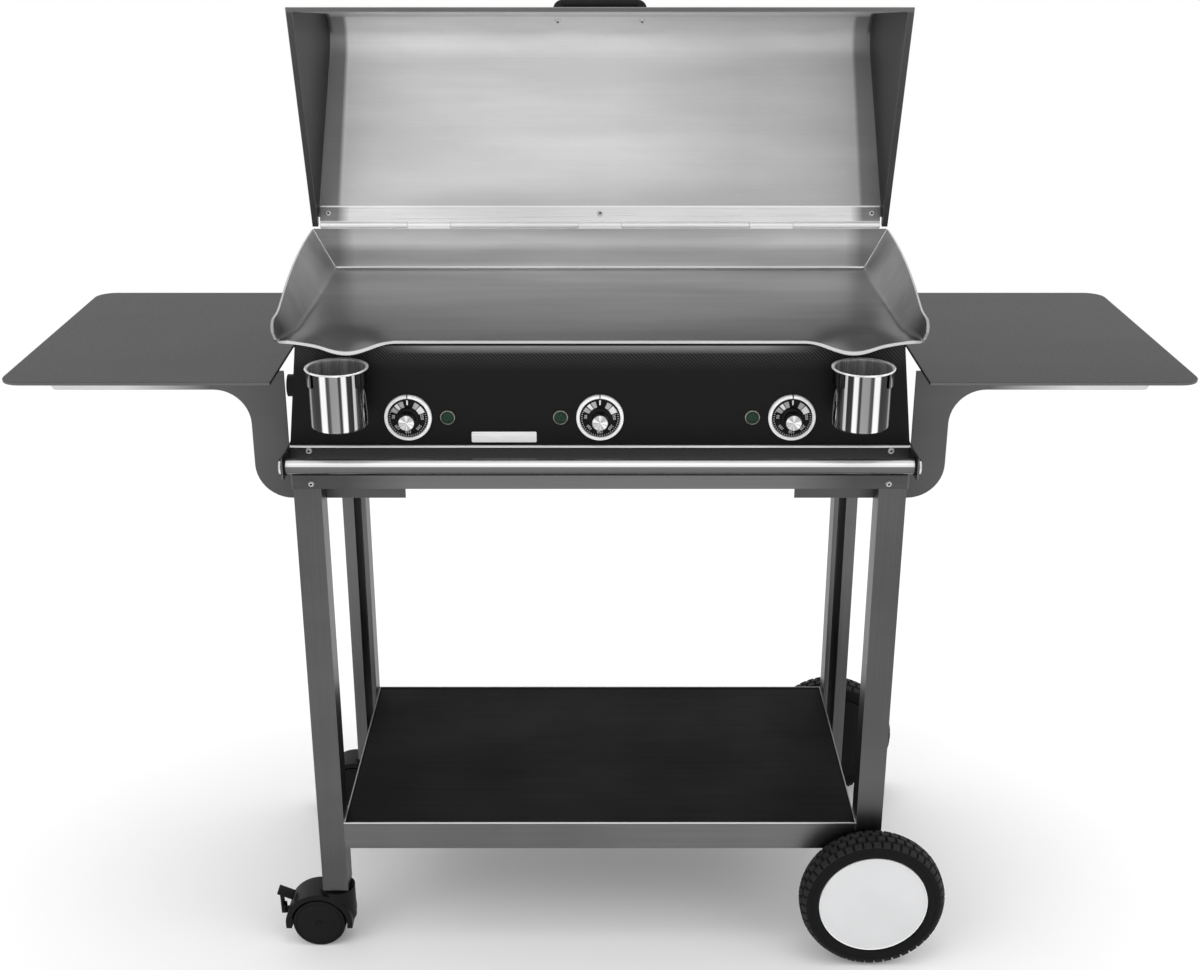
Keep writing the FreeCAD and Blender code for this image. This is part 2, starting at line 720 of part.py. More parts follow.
cheek_inner = "(ribThick / 2 + leverGap)"
cheek_outer = f"({cheek_inner} + leverSheet)"
arm_span = (f"{pivot_across} - lugHalf", f"{pivot_across} - lugHalf + leverSheet")
cheek_high = f"{pivot_height} + lugHalf * sqrt(2) + leverGap"
lever_high = f"{pivot_height} + leverHeight"
lever = join("lever",
             box("near_cheek", (arm_span[0], f"{pivot_across} + pivotRadius"),
                 (f"{caster_back} - {cheek_outer}", f"{caster_back} - {cheek_inner}"),
                 (f"{pivot_height} - pivotRadius", f"{cheek_high} + leverSheet")),
             box("far_cheek", (arm_span[0], f"{pivot_across} + pivotRadius"),
                 (f"{caster_back} + {cheek_inner}", f"{caster_back} + {cheek_outer}"),
                 (f"{pivot_height} - pivotRadius", f"{cheek_high} + leverSheet")),
             box("arm", arm_span, (f"{caster_back} - {cheek_outer}", f"{caster_back} + {cheek_outer}"),
                 (cheek_high, lever_high)),
             box("tab", (f"{arm_span[0]} - tabThick", f"{arm_span[0]} - tabThick + tabLength"),
                 (f"{caster_back} - tabHalf", f"{caster_back} + tabHalf"),
                 (f"{lever_high} - tabThick", lever_high)),
             rod("lever_pin", pivot_across, (f"{caster_back} - {cheek_outer}",
                                             f"{caster_back} + {cheek_outer}"),
                 pivot_height, "pivotRadius"))
caster_pieces = {"body": caster, "wheel_near": caster_wheel("near_wheel", near_span),
                 "wheel_far": caster_wheel("far_wheel", far_span), "brake": lever}
for label, piece in caster_pieces.items():
    node("caster_front_" + label, piece)
for label, piece in caster_pieces.items():
    behind = {"wheel_near": "wheel_far", "wheel_far": "wheel_near"}.get(label, label)
    node("caster_rear_" + label, mirror("rear_" + label, caster_pieces[behind], True))
socket = cut("socket", box("socket", ("legSheet - cartHalf", f"-{leg_inner} - legSheet"),
                           ("legSheet", "legDepth - legSheet"), ("leftFoot", "leftFoot + socketHeight")),
             rod("stem_bore", swivel_across, caster_back,
                 ("leftFoot - cutOver", "leftFoot + stemLength + stemGap"),
                 "stemRadius + runningGap"))
node("caster_sockets", group("sockets", socket, mirror("rear_socket", socket, True)))

# Griddle plate: flat bottom, flared guards, back splash and two pour spouts.
flat = box("flat", ("-creaseHalf", "creaseHalf"), ("-plateFore", "plateBack + guardSheet"),
           (plate_under, "plateTop"))
guard_slab = doc.addObject("Part::Box", "guard_slab")
guard_slab.setExpression("Length", formula("guardSheet"))
guard_slab.setExpression("Width", formula("plateFore + guardOver + plateBack + guardSheet"))
guard_slab.setExpression("Height", formula("guardRoot + plateSheet + 2 * guardRear"))
place(guard_slab, "creaseHalf - (plateSheet + guardRoot) * tan(guardFlare)", "-plateFore - guardOver",
      f"{plate_under} - guardRoot")
turn(guard_slab, ("0", "1", "0"), "guardFlare")
guard_side = outline("guard_side", "YZ_Plane", [
    ("-plateFore", plate_under), ("plateBack + guardSheet", plate_under),
    ("plateBack + guardSheet", "plateTop + guardRear"),
    ("-plateFore - guardOver", "plateTop + guardFront")],
    "2 * guardRear", [(3, "guardCorner")], {2: "guardSweep"})
place(guard_side, "creaseHalf - guardRear / 2")
guard = common("guard", guard_slab, guard_side)
splash = taper("splash", "creaseHalf", "creaseHalf + (plateSheet + splashHeight) * tan(guardFlare)",
               ("plateBack", "plateBack + guardSheet"), (plate_under, "plateTop + splashHeight"))


def trough(name, more):
    """The round of the right spout, sloping down to the front lip."""
    bar = doc.addObject("Part::Cylinder", name)
    bar.setExpression("Radius", formula(f"spoutRadius + {more}"))
    bar.setExpression("Height", formula("2 * spoutRun"))
    place(bar, "spoutAcross", "-plateFore - spoutRun / 2", "plateTop - 1.5 * spoutDrop + spoutRadius")
    turn(bar, ("1", "0", "0"), "atan(spoutDrop / spoutRun) - 90 deg")
    return bar


spout_zone = box("spout_zone", ("0", "creaseHalf"), ("-plateFore", "spoutRun"),
                 ("plateTop - spoutDrop - 3 * plateSheet", "plateTop"))
hollow_zone = box("hollow_zone", ("0", "creaseHalf"), ("-plateFore - cutOver", "spoutRun"),
                  ("plateTop - spoutDrop - 3 * plateSheet", "plateTop + cutOver"))
hollow = common("hollow", trough("hollow", "0"), hollow_zone)
spout = common("spout", trough("spout", "plateSheet"), spout_zone)
plate = join("plate", flat, guard, mirror("left_guard", guard), splash, spout,
             mirror("left_spout", spout))
node("griddle_plate", cut("griddle_plate", plate, hollow, mirror("left_hollow", hollow)))

# Control panel.
dials = {"left": "-dialAcross", "centre": "0", "right": "dialAcross"}
pilots = {"left": "pilotAside - dialAcross", "centre": "-pilotAside", "right": "dialAcross - pilotAside"}
panel_run = ("-panelSheet", "0")
through = ("-panelSheet - cutOver", "cutOver")
panel_room = trough("panel_room", "plateSheet + spoutGap")
panel_tools = [panel_room, mirror("left_panel_room", panel_room)]
panel_tools += [rod("spindle_hole", across, through, "dialHeight",
                    "spindleRadius + dialGap") for across in dials.values()]
panel_tools += [rod("pilot_hole", across, through, "dialHeight",
                    "lensRadius") for across in pilots.values()]
node("control_panel", cut("panel", taper("panel", "panelHalfLow", "panelHalfHigh", panel_run,
                                         ("railTop", plate_under)),
                          *panel_tools))
node("name_plate", box("name_plate", ("-nameLeft", "nameWidth - nameLeft"),
                       ("-panelSheet - nameThick", "-panelSheet"),
                       ("nameLow", "nameLow + nameHeight")))


def panel_ring(name, across, outer, inner, thick):
    """A ring lying on the control panel."""
    return cut(name, rod(name, across, (f"{panel_front} - {thick}", panel_front), "dialHeight", outer),
               rod(name, across, (f"{panel_front} - {thick} - cutOver", f"{panel_front} + cutOver"),
                   "dialHeight", inner))


node("dial_bezels", group("bezels", *[panel_ring("bezel", across, "bezelRadius", "dialRadius + dialGap",
                                                 "bezelThick")
                                      for across in dials.values()]))
node("pilot_bezels", group("pilot_rims", *[panel_ring("pilot", across, "pilotRadius", "lensRadius",
                                                      "pilotThick")
                                           for across in pilots.values()]))
node("pilot_lenses", group("lenses", *[rod("lens", across, (f"{panel_front} - lensProud", "0"),
                                           "dialHeight", "lensRadius")
                                       for across in pilots.values()]))
dial_back = f"({panel_front} - dialGap)"
for place_name, across in dials.items():
    disc = cut("dial", rod("dial", across, (f"{dial_back} - dialThick", dial_back), "dialHeight",
                           "dialRadius"),
               rod("dial_bore", across, (f"{dial_back} - dialThick - cutOver", f"{dial_back} + cutOver"),
                   "dialHeight",
                   "spindleRadius"))
    knob = join("knob", rod("knob", across, (f"{panel_front} - knobProud", f"{dial_back} - dialThick"),
                            "dialHeight",
                            "knobRadius"),
                rod("spindle", across, (f"{dial_back} - dialThick - cutOver", "spindleReach"),
                    "dialHeight", "spindleRadius"))
    node("dial_" + place_name, disc)
    node("knob_" + place_name, knob)

# Housing pan, open at the front where the panel closes it, with a cover over its rear window.
low_half = "(panelHalfLow - housingInset)"
high_half = "(panelHalfHigh - housingInset)"
pan = taper("pan", low_half, high_half, ("0", "housingBack"), ("railTop", plate_under))
room = taper("room", f"{low_half} - housingSheet", f"{high_half} - housingSheet",
             ("-cutOver", "housingBack - housingSheet"),
             ("railTop + housingSheet", f"{plate_under} + cutOver"))
window_high = f"{plate_under} - coverEdge"
window = box("window", (f"coverMargin - {high_half}", f"{high_half} - coverMargin"),
             ("housingBack - housingSheet - cutOver", "housingBack + cutOver"),
             ("railTop + coverEdge", window_high))
ledge_low = f"({board_top} - insulation - housingSheet)"
board_ledge = box("board_ledge", (f"{high_half} - ledgeWidth", high_half),
                  ("insulationFore", "housingBack - cutOver"),
                  (ledge_low, f"{ledge_low} + housingSheet"))
gland_neck = rod("gland_neck", (f"-{low_half} - glandProud", f"-{low_half} + glandProud + glandInside"),
                 "glandBack", "glandHeight", "glandNeck")
cover_span = (f"coverMargin - coverLap - {high_half}", f"{high_half} - coverMargin + coverLap")
cover_rise = ("railTop + coverEdge - coverLap", f"{window_high} + coverLap")
screws = [bolt("cover_screw", f"{side} * ({high_half} - coverMargin + coverLap / 2)",
               "housingBack + coverSheet", height,
               ("y", -1), "screwRadius", "screwHead", "screwHeadThick",
               "(coverSheet + housingSheet + insulationGap / 2)")
          for side in (-1, 1) for height in (f"{cover_rise[0]} + coverLap / 2",
                                             f"{cover_rise[1]} - coverLap / 2")]
cover_screws = group("cover_screws", *screws)
node("panel_screws", cover_screws)
housing = join("pan_folded", cut("pan_shell", pan, room, window), board_ledge,
               mirror("left_ledge", board_ledge))
node("housing", cut("drilled_pan", housing, gland_neck, cover_screws))
node("rear_cover", cut("cover", box("cover", cover_span, ("housingBack", "housingBack + coverSheet"),
                                    cover_rise),
                       cover_screws))
wall_half = f"({low_half} - glandRise * (panelHalfLow - panelHalfHigh) / panelHeight)"
gland_nut = common("gland_nut", rod("gland_nut", (f"-{wall_half} - glandProud",
                                                  f"-{wall_half} + glandInside"), "glandBack",
                                    "glandHeight", "glandRadius"),
                   box("gland_room", (f"-{low_half} - 2 * glandProud", "0"), ("0", "2 * glandBack"),
                       ("railTop", plate_under)))
gland_nut = cut("gland_outside", gland_nut, taper("pan_block", low_half, high_half,
                                                  ("-cutOver", "housingBack"),
                                                  ("railTop", plate_under)))
gland_stem = common("gland_stem", gland_neck, box("stem_room",
                                                  (f"-{wall_half} - glandProud",
                                                   f"-{wall_half} + glandInside"),
                                                  ("0", "2 * glandBack"), ("railTop", plate_under)))
node("cable_gland", join("gland", gland_nut, gland_stem))

# What the housing holds.
node("insulation_board", box("insulation", (f"-{high_half} + housingSheet + cutOver",
                                            f"{high_half} - housingSheet - cutOver"),
                             ("insulationFore", "housingBack - housingSheet - insulationGap"),
                             (f"{board_top} - insulation", board_top)))


def element(across):
    """One hairpin heating element under the plate."""
    span = ("elementFore", "elementFore + elementRun")
    bend = doc.addObject("Part::Torus", "bend")
    bend.setExpression("Radius1", formula("elementHalf"))
    bend.setExpression("Radius2", formula("elementRadius"))
    bend.Angle3 = 180
    place(bend, across, span[1], element_height)
    return join("element", bend, rod("run", f"{across} - elementHalf", span, element_height,
                                     "elementRadius"),
                rod("run", f"{across} + elementHalf", span, element_height, "elementRadius"))


def thermostat(across):
    """A thermostat behind its dial, with the capillary and bulb that reach under the plate."""
    bulb_height = f"({plate_under} - bulbRadius)"
    block = box("thermostat", (f"{across} - bodyHalf", f"{across} + bodyHalf"), ("0", "bodyDepth"),
                ("dialHeight - bodyHalf", "dialHeight + bodyHalf"))
    line = join("thermostat", block,
                rod("capillary", across, ("bodyDepth - cutOver", "capillaryBack"), "dialHeight",
                    "capillaryRadius"),
                rod("capillary", across, "capillaryBack", ("dialHeight", bulb_height), "capillaryRadius"),
                rod("bulb", across, ("capillaryBack - bulbRadius", "capillaryBack + bulbLength"),
                    bulb_height, "bulbRadius"))
    return cut("thermostat", line, rod("bore", across, ("-cutOver", "boreDepth"), "dialHeight",
                                       "spindleRadius + runningGap"))


node("heating_elements", group("elements", *[element(across) for across in dials.values()]))
node("thermostats", group("controls", *[thermostat(across) for across in dials.values()]))
floor_top = "(railTop + housingSheet)"
node("terminal_block", box("terminal", ("-terminalLeft", "terminalWidth - terminalLeft"),
                           ("terminalFore", "terminalFore + terminalDepth"),
                           (floor_top, f"{floor_top} + terminalHeight")))
loom_height = f"({floor_top} + loomRise)"
loom_left = "(terminalWidth / 2 - terminalLeft)"
loom = [rod("trunk", (f"{loom_left} - 2 * loomRadius", "dialAcross + bodyHalf"), "loomBack", loom_height,
            "loomRadius"),
        rod("feed", loom_left, ("loomBack", "terminalFore"), loom_height, "feedRadius")]
for across in dials.values():
    beside = f"{across} + bodyHalf / 2"
    branch = "dialHeight - bodyHalf / 2"
    loom.append(rod("riser", beside, "loomBack", (loom_height, f"{branch} + 2 * riserRadius"),
                    "riserRadius"))
    loom.append(rod("branch", beside, ("bodyDepth", "loomBack"), branch, "branchRadius"))
node("wiring_loom", join("loom", *loom))

# Grease cups and the spring clips they are pulled forward out of.
cup_low = "(cupTop - cupHeight)"
cup = join("cup_block", rod("cup", "cupAcross", "-cupFore", (cup_low, "cupTop"), "cupRadius"),
           rod("cup_rim", "cupAcross", "-cupFore", ("cupTop - rimThick", "cupTop"), "cupRim"))
cup = cut("cup", cup, rod("cup_inside", "cupAcross", "-cupFore",
                          (f"{cup_low} + cupWall", "cupTop + cutOver"),
                          "cupRadius - cupWall"))
node("cup_right", cup)
node("cup_left", mirror("left_cup", cup))
clip_top = "(cupTop - rimThick - clipGap)"
clip_inner = "(cupRadius + clipGap)"
clip_span = (f"{clip_top} - clipHeight", clip_top)
clip_ring = rod("clip_ring", "cupAcross", "-cupFore", clip_span, f"{clip_inner} + clipSheet")
clip_ring.setExpression("Angle", formula("360 - 2 * clipOpen"))
turn(clip_ring, ("0", "0", "1"), "clipOpen - 90")
clip = join("clip_block", clip_ring, box("clip_tab", ("cupAcross - clipTab", "cupAcross + clipTab"),
                                         (f"{clip_inner} - cupFore", "-panelSheet"), clip_span))
clip = cut("clip", clip, rod("clip_inside", "cupAcross", "-cupFore",
                             (f"{clip_span[0]} - cutOver", f"{clip_top} + cutOver"), clip_inner))
node("cup_clips", group("clips", clip, mirror("left_clip", clip)))

# Hinge: knuckles on straps behind the back splash hold the pin, the leaf's knuckles turn on it.
fixed = [(f"{station} * knucklePitch - knuckleHalf",
          f"{station} * knucklePitch + knuckleHalf") for station in (-1, 0, 1)]
strap_run = ("plateBack + guardSheet", "plateBack + guardSheet + strapSheet")
strap_rise = ("plateTop + splashHeight - strapHeight", "hingeHeight")
knuckles = [join("knuckle", rod("knuckle", span, "hingeBack", "hingeHeight", "knuckleRadius"),
                 box("strap", span, strap_run, strap_rise)) for span in fixed]
knuckles = [cut("knuckle", piece, rod("pin_hole", ("-pinHalf", "pinHalf"), "hingeBack", "hingeHeight",
                                      "pinRadius"))
            for piece in knuckles]
node("hinge_knuckles", group("knuckles", *knuckles))
node("hinge_pin", rod("pin", ("-pinHalf", "pinHalf"), "hingeBack", "hingeHeight", "pinRadius"))

leaf_lean = "90 - rearSlope"
leaf_screws = [join("leaf_screw", rod("head", across, ("-leafSheet - screwHeadThick", "-leafSheet"),
                                      "leafScrew", "screwHead",
                                      True),
                    rod("shank", across, ("-leafSheet", "lidSheet"), "leafScrew", "screwRadius", True))
               for across in ("-leafScrewAcross", "0", "leafScrewAcross")]
leaf_screws = [lid_place(screw, lean=leaf_lean) for screw in leaf_screws]
handle_screws = []
for side in (-1, 1):
    across = f"{side} * (handleHalf - handleFoot / 2)"
    screw = join("handle_screw",
                 rod("head", across, "0", ("ridgeRadius - screwHeadThick - leafSheet", "ridgeRadius"),
                     "screwHead", True),
                 rod("shank", across, "0", ("ridgeRadius", "ridgeRadius + screwLength"), "screwRadius",
                     True))
    handle_screws.append(lid_place(screw, ridge_along, ridge_up, "handleLean"))
lid_screws = group("lid_fasteners", *leaf_screws, *handle_screws)

moving = [("knuckleHalf + knuckleGap", "knucklePitch - knuckleHalf - knuckleGap"),
          ("knucklePitch + knuckleHalf + knuckleGap", "knuckleOuter")]
moving += [(f"-({high})", f"-({low})") for low, high in moving]
leaf = join("leaf", box("leaf_strip", ("-leafHalf", "leafHalf"), ("-leafSheet", "0"),
                        ("leafStart", "leafEnd"), True),
            *[rod("barrel", span, "0", "0", "knuckleRadius", True) for span in moving])
notches = [rod("notch", (f"{low} - knuckleGap", f"{high} + knuckleGap"), "0", "0",
               "knuckleRadius + knuckleNotch", True)
           for low, high in fixed]
leaf = cut("leaf_shape", leaf, rod("leaf_bore", ("-lidHalf", "lidHalf"), "0", "0",
                                   "pinRadius + runningGap", True), *notches)
lid_place(leaf, lean=leaf_lean)
node("lid_hinge_leaf", cut("leaf", leaf, *leaf_screws))


def lid_trim(name, side, more):
    """What lies outside one side wall of the lid, which leans in towards the ridge and the front."""
    block = doc.addObject("Part::Cylinder", name)
    block.setExpression("Radius", formula("2 * lidChord"))
    block.setExpression("Height", formula("lidHalf"))
    place(block, f"{side} * (lidHalf + {more})", "0", "0", True)
    turn(block, ("lidTaper", str(side), "0"), "atan(sqrt(1 + lidTaper ^ 2) / lidFlare)")
    return block


lid_width = "(lidHalf + lidFlange + lidLip)"
wall_aside = "lidSheet * sqrt(1 + lidTaper ^ 2 + lidFlare ^ 2)"


def lid_sides(name, block, aside):
    """A block of the lid trimmed at both of its side walls."""
    return cut(name, block, *[lid_trim(name, side, aside) for side in (-1, 1)])


def lid_solid(name, over, aside):
    """The lid filled in, with its faces moved out by a thickness."""
    rear = f"({over} / cos(rearSlope))"
    foot = f"(lidChord + {over} / sin(frontSlope))"
    along = f"(({foot} * tan(frontSlope) - {rear}) / (tan(rearSlope) + tan(frontSlope)))"
    block = outline(name, "YZ_Plane", [
        ("-lidRear", "0"), ("-lidRear", f"lidRear * tan(rearSlope) + {rear}"),
        (f"-{along}", f"{along} * tan(rearSlope) + {rear}"), (f"-{foot}", "0")],
        f"2 * {lid_width}", [(2, f"ridgeRadius + {over}")])
    place(block, f"-{lid_width}", local=True)
    return lid_sides(name, block, aside)


lid_inner = lid_solid("lid_room", "0", "0")
lid_wall = cut("lid_wall", lid_solid("lid_block", "lidSheet", wall_aside), lid_inner)
# Ears: the side walls run on past the ends of the hinge.
ear_top = "lidRear * tan(rearSlope)"
ears = outline("ears", "YZ_Plane", [
    ("earBehind", "0"), ("earBehind", "earRise"), ("-lidRear", ear_top), ("-2 * lidRear", ear_top),
    ("-2 * lidRear", "0")], f"2 * {lid_width}")
place(ears, f"-{lid_width}", local=True)
ear_room = box("ear_room", (f"-{lid_width}", lid_width), ("-2 * lidRear - cutOver", "earBehind + cutOver"),
               ("-cutOver", f"{ear_top} + cutOver"), True)
ear_room = lid_sides("hinge_room", ear_room, "0")
ears = cut("ear_walls", lid_sides("ear_sides", ears, wall_aside), ear_room)
flange = box("flange", (f"-{lid_width}", lid_width), ("-lidChord - lidLip", "earBehind"),
             ("0", "lidSheet"), True)
flange = cut("flange_ring", lid_sides("flange_sides", flange, "lidFlange"), lid_inner, ear_room)
lid_shell = lid_place(join("lid_folded", lid_wall, ears, flange))
node("lid_shell", cut("lid_shell", lid_shell, lid_screws))

grip = box("grip", ("-handleHalf", "handleHalf"), ("-handleWide / 2", "handleWide / 2"),
           (handle_foot, handle_top), True)
feet = [box("foot", ("handleHalf - handleFoot", "handleHalf"), ("-handleWide / 2", "handleWide / 2"),
            ("ridgeRadius / 2", handle_top), True),
        box("foot", ("-handleHalf", "handleFoot - handleHalf"), ("-handleWide / 2", "handleWide / 2"),
            ("ridgeRadius / 2", handle_top), True)]
handle = cut("handle_shape", join("handle", grip, *feet),
             rod("ridge", ("-lidHalf", "lidHalf"), "0", "0", "ridgeRadius + lidSheet", True))
lid_place(handle, ridge_along, ridge_up, "handleLean")
node("lid_handle", cut("handle", handle, *handle_screws))
node("lid_screws", lid_screws)

doc.recompute()
for thing in doc.Objects:
    if "Invalid" in thing.State or "Error" in thing.State:
        raise RuntimeError(f"{thing.Name} ({thing.Label}) did not build: {thing.State}")
for piece in nodes:
    if piece.Shape.isNull() or not piece.Shape.isValid() or not piece.Shape.Solids:
        raise RuntimeError(f"{piece.Label} has no valid solid")
os.makedirs("parts", exist_ok=True)
for piece in nodes:
    piece.Shape.exportStep(f"parts/{piece.Label}.step")
print(len(nodes), "sub-parts written")
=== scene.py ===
from math import copysign, cos, hypot, pi, radians, sin, sqrt, tan

import bmesh
import bpy
from mathutils import Matrix, Vector


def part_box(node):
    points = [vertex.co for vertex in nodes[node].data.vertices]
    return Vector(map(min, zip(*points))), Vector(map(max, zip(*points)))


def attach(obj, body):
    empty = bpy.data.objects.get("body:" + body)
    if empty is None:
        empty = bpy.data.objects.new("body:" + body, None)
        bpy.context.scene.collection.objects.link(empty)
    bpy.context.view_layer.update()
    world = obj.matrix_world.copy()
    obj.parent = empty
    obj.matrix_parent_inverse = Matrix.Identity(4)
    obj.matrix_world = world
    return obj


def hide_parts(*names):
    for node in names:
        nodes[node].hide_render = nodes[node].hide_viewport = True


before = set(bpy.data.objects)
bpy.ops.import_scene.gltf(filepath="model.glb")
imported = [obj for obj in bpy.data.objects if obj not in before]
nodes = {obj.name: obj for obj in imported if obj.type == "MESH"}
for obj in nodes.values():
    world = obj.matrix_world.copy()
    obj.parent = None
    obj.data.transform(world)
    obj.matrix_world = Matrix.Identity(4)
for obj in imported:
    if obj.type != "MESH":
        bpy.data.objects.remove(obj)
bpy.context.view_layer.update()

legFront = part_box("front_legs")[0].y
print("frame loaded,", len(nodes), "nodes")


def addObject(name, data):
    thing = bpy.data.objects.new(name, data)
    bpy.context.scene.collection.objects.link(thing)
    return thing


# camera at the photo's angle
view = {"lens": 48.09, "sensor": 36, "tilt": 68.72, "back": 1.8857, "height": 1.4345}
camera = addObject("camera", bpy.data.cameras.new("camera"))
camera.data.lens = view["lens"]
camera.data.sensor_width = view["sensor"]
camera.location = (0, legFront - view["back"], view["height"])
camera.rotation_euler = (radians(view["tilt"]), 0, 0)
bpy.context.scene.camera = camera


# node tree helpers
def addNode(tree, kind, inputs=None, **settings):
    node = tree.nodes.new(kind)
    for key, entry in settings.items():
        setattr(node, key, entry)
    for key, entry in (inputs or {}).items():
        if isinstance(entry, bpy.types.NodeSocket):
            tree.links.new(entry, node.inputs[key])
        else:
            node.inputs[key].default_value = entry
    return node


def nodeOut(tree, kind, inputs=None, **settings):
    return addNode(tree, kind, inputs, **settings).outputs[0]


def doMath(tree, operation, first, second=0.0):
    return nodeOut(tree, "ShaderNodeMath", {0: first, 1: second}, operation=operation)


def times(tree, first, second):
    return doMath(tree, "MULTIPLY", first, second)


def vector(tree, x=0.0, y=0.0, z=0.0):
    return nodeOut(tree, "ShaderNodeCombineXYZ", {0: x, 1: y, 2: z})


def onCircle(tree, angle, radius):
    return [times(tree, doMath(tree, way, angle), radius) for way in ("COSINE", "SINE")]


def remap(tree, source, low, high, newLow=0, newHigh=1):
    return nodeOut(tree, "ShaderNodeMapRange", {0: source, 1: low, 2: high, 3: newLow, 4: newHigh})


def noise(tree, place, scale, detail, roughness=0.5):
    return nodeOut(tree, "ShaderNodeTexNoise",
                   {"Vector": place, "Scale": scale, "Detail": detail, "Roughness": roughness})


def mixColour(tree, factor, first, second):
    return addNode(tree, "ShaderNodeMix", {0: factor, 6: first, 7: second}, data_type="RGBA").outputs[2]


def scaled(tree, tone, lift):
    return nodeOut(tree, "ShaderNodeVectorMath", {0: tone, "Scale": lift}, operation="SCALE")


def grey(level, tint=(1, 1, 1)):
    return (level * tint[0], level * tint[1], level * tint[2], 1)


def greyRamp(tree, factor, stops):
    node = addNode(tree, "ShaderNodeValToRGB", {0: factor})
    elements = node.color_ramp.elements
    elements.remove(elements[1])
    elements[0].position = stops[0][0]
    elements[0].color = grey(stops[0][1])
    for spot, level in stops[1:]:
        elements.new(spot).color = grey(level)
    return node.outputs[0]


def objectPlace(tree):
    return addNode(tree, "ShaderNodeTexCoord").outputs["Object"]


def surfaceAxes(tree, kind):
    # x, y and z of the place on the piece, or of the way its surface faces
    source = addNode(tree, "ShaderNodeTexCoord").outputs[kind]
    return addNode(tree, "ShaderNodeSeparateXYZ", {0: source}).outputs


def newGroup(name, **inputs):
    tree = bpy.data.node_groups.new(name, "ShaderNodeTree")
    for label, start in inputs.items():
        kind = "NodeSocketVector" if isinstance(start, tuple) else "NodeSocketFloat"
        tree.interface.new_socket(label, in_out="INPUT", socket_type=kind).default_value = start
    return tree, tree.nodes.new("NodeGroupInput").outputs


def closeGroup(tree, **outputs):
    for label, socket in outputs.items():
        tree.interface.new_socket(label, in_out="OUTPUT", socket_type=socket.bl_idname)
    ends = tree.nodes.new("NodeGroupOutput").inputs
    for label, socket in outputs.items():
        tree.links.new(socket, ends[label])


def useGroup(tree, group, **inputs):
    node = tree.nodes.new("ShaderNodeGroup")
    node.node_tree = group
    for key, entry in inputs.items():
        node.inputs[key].default_value = entry
    return node.outputs


noiseSpan = (0.3, 0.7)  # most of a noise lies between these

# brushed sheet: fine streaks one way, broad soft smears, slow cloudy change over the sheet
smearStretch = (2.5, 14, 14)
brushedGrain, given = newGroup("brushedGrain", stretch=(4, 400, 400), cloud=3.0)
place = objectPlace(brushedGrain)
pulled = nodeOut(brushedGrain, "ShaderNodeMapping", {0: place, 3: given["stretch"]})
broad = nodeOut(brushedGrain, "ShaderNodeMapping", {0: place, 3: smearStretch})
closeGroup(brushedGrain, streak=noise(brushedGrain, pulled, 1.0, 5.0, 0.6),
           cloudiness=noise(brushedGrain, place, given["cloud"], 3.0),
           smear=noise(brushedGrain, broad, 1.0, 4.0))

# sheet edges: a mask along them that carries the painted edge highlight and shade, and a normal that rounds
# them off
paintedEdgeSpan = (0.985, 0.88)
sheetEdge, given = newGroup("sheetEdge", radius=0.0012)
softened = nodeOut(sheetEdge, "ShaderNodeBevel", {"Radius": given["radius"]}, samples=4)
straight = addNode(sheetEdge, "ShaderNodeNewGeometry").outputs["True Normal"]
alike = addNode(sheetEdge, "ShaderNodeVectorMath", {0: softened, 1: straight}, operation="DOT_PRODUCT")
closeGroup(sheetEdge, edge=remap(sheetEdge, alike.outputs["Value"], *paintedEdgeSpan), rounded=softened)

# streaks round a turned piece, from its own UV map
turnedGrain, given = newGroup("turnedGrain", around=4.0, along=0.2)
wrapped = nodeOut(turnedGrain, "ShaderNodeUVMap", uv_map="turned")
wrapped = addNode(turnedGrain, "ShaderNodeSeparateXYZ", {0: wrapped}).outputs
ring = onCircle(turnedGrain, times(turnedGrain, wrapped[0], 2 * pi), given["around"])
ring = vector(turnedGrain, *ring, times(turnedGrain, wrapped[1], given["along"]))
closeGroup(turnedGrain, streak=noise(turnedGrain, ring, 1.0, 3.0), fine=noise(turnedGrain, ring, 9.0, 3.0))

# fine pebble of moulded plastic, rubber and powder coat
pebble, given = newGroup("pebble", scale=900.0)
place = objectPlace(pebble)
closeGroup(pebble, height=noise(pebble, place, given["scale"], 2.0), patch=noise(pebble, place, 9.0, 4.0))

# woven look of the control panel: tows that pass two over and two under
twill, given = newGroup("twill", tow=0.002)
axes = surfaceAxes(twill, "Object")
tows = [doMath(twill, "DIVIDE", axes[axis], given["tow"]) for axis in (0, 2)]
diagonal = doMath(twill, "ADD", *[doMath(twill, "FLOOR", tow) for tow in tows])
over = doMath(twill, "LESS_THAN", doMath(twill, "FLOORED_MODULO", diagonal, 4.0), 1.5)
crowns = [doMath(twill, "SINE", times(twill, doMath(twill, "FRACT", tow), pi)) for tow in tows]
bulge = nodeOut(twill, "ShaderNodeMix", {0: over, 2: crowns[0], 3: crowns[1]})
closeGroup(twill, height=bulge, over=over)

# painted reflection: upright light and dark bands round a grease cup and its clip
cupPlace = {"across": 0.316, "fore": 0.045}
cupReflectionBands = [
    (0.0, 0.3), (0.19, 0.26), (0.21, 0.03), (0.34, 0.05), (0.36, 0.95), (0.415, 0.95), (0.43, 0.07),
    (0.46, 0.1), (0.475, 0.3), (0.55, 0.32), (0.565, 0.05), (0.585, 0.06), (0.6, 0.9), (0.64, 0.93),
    (0.655, 0.04), (0.715, 0.03), (0.725, 0.6), (0.75, 0.5), (0.765, 0.06), (0.83, 0.1), (0.85, 0.55),
    (0.88, 0.5), (0.9, 0.06), (1.0, 0.12)]
paintedMirrorBands, given = newGroup("paintedMirrorBands", across=0.3, depth=0.0)
axes = surfaceAxes(paintedMirrorBands, "Object")
aside = doMath(paintedMirrorBands, "SUBTRACT", given["across"], doMath(paintedMirrorBands, "ABSOLUTE", axes[0]))
fore = doMath(paintedMirrorBands, "SUBTRACT", given["depth"], axes[1])
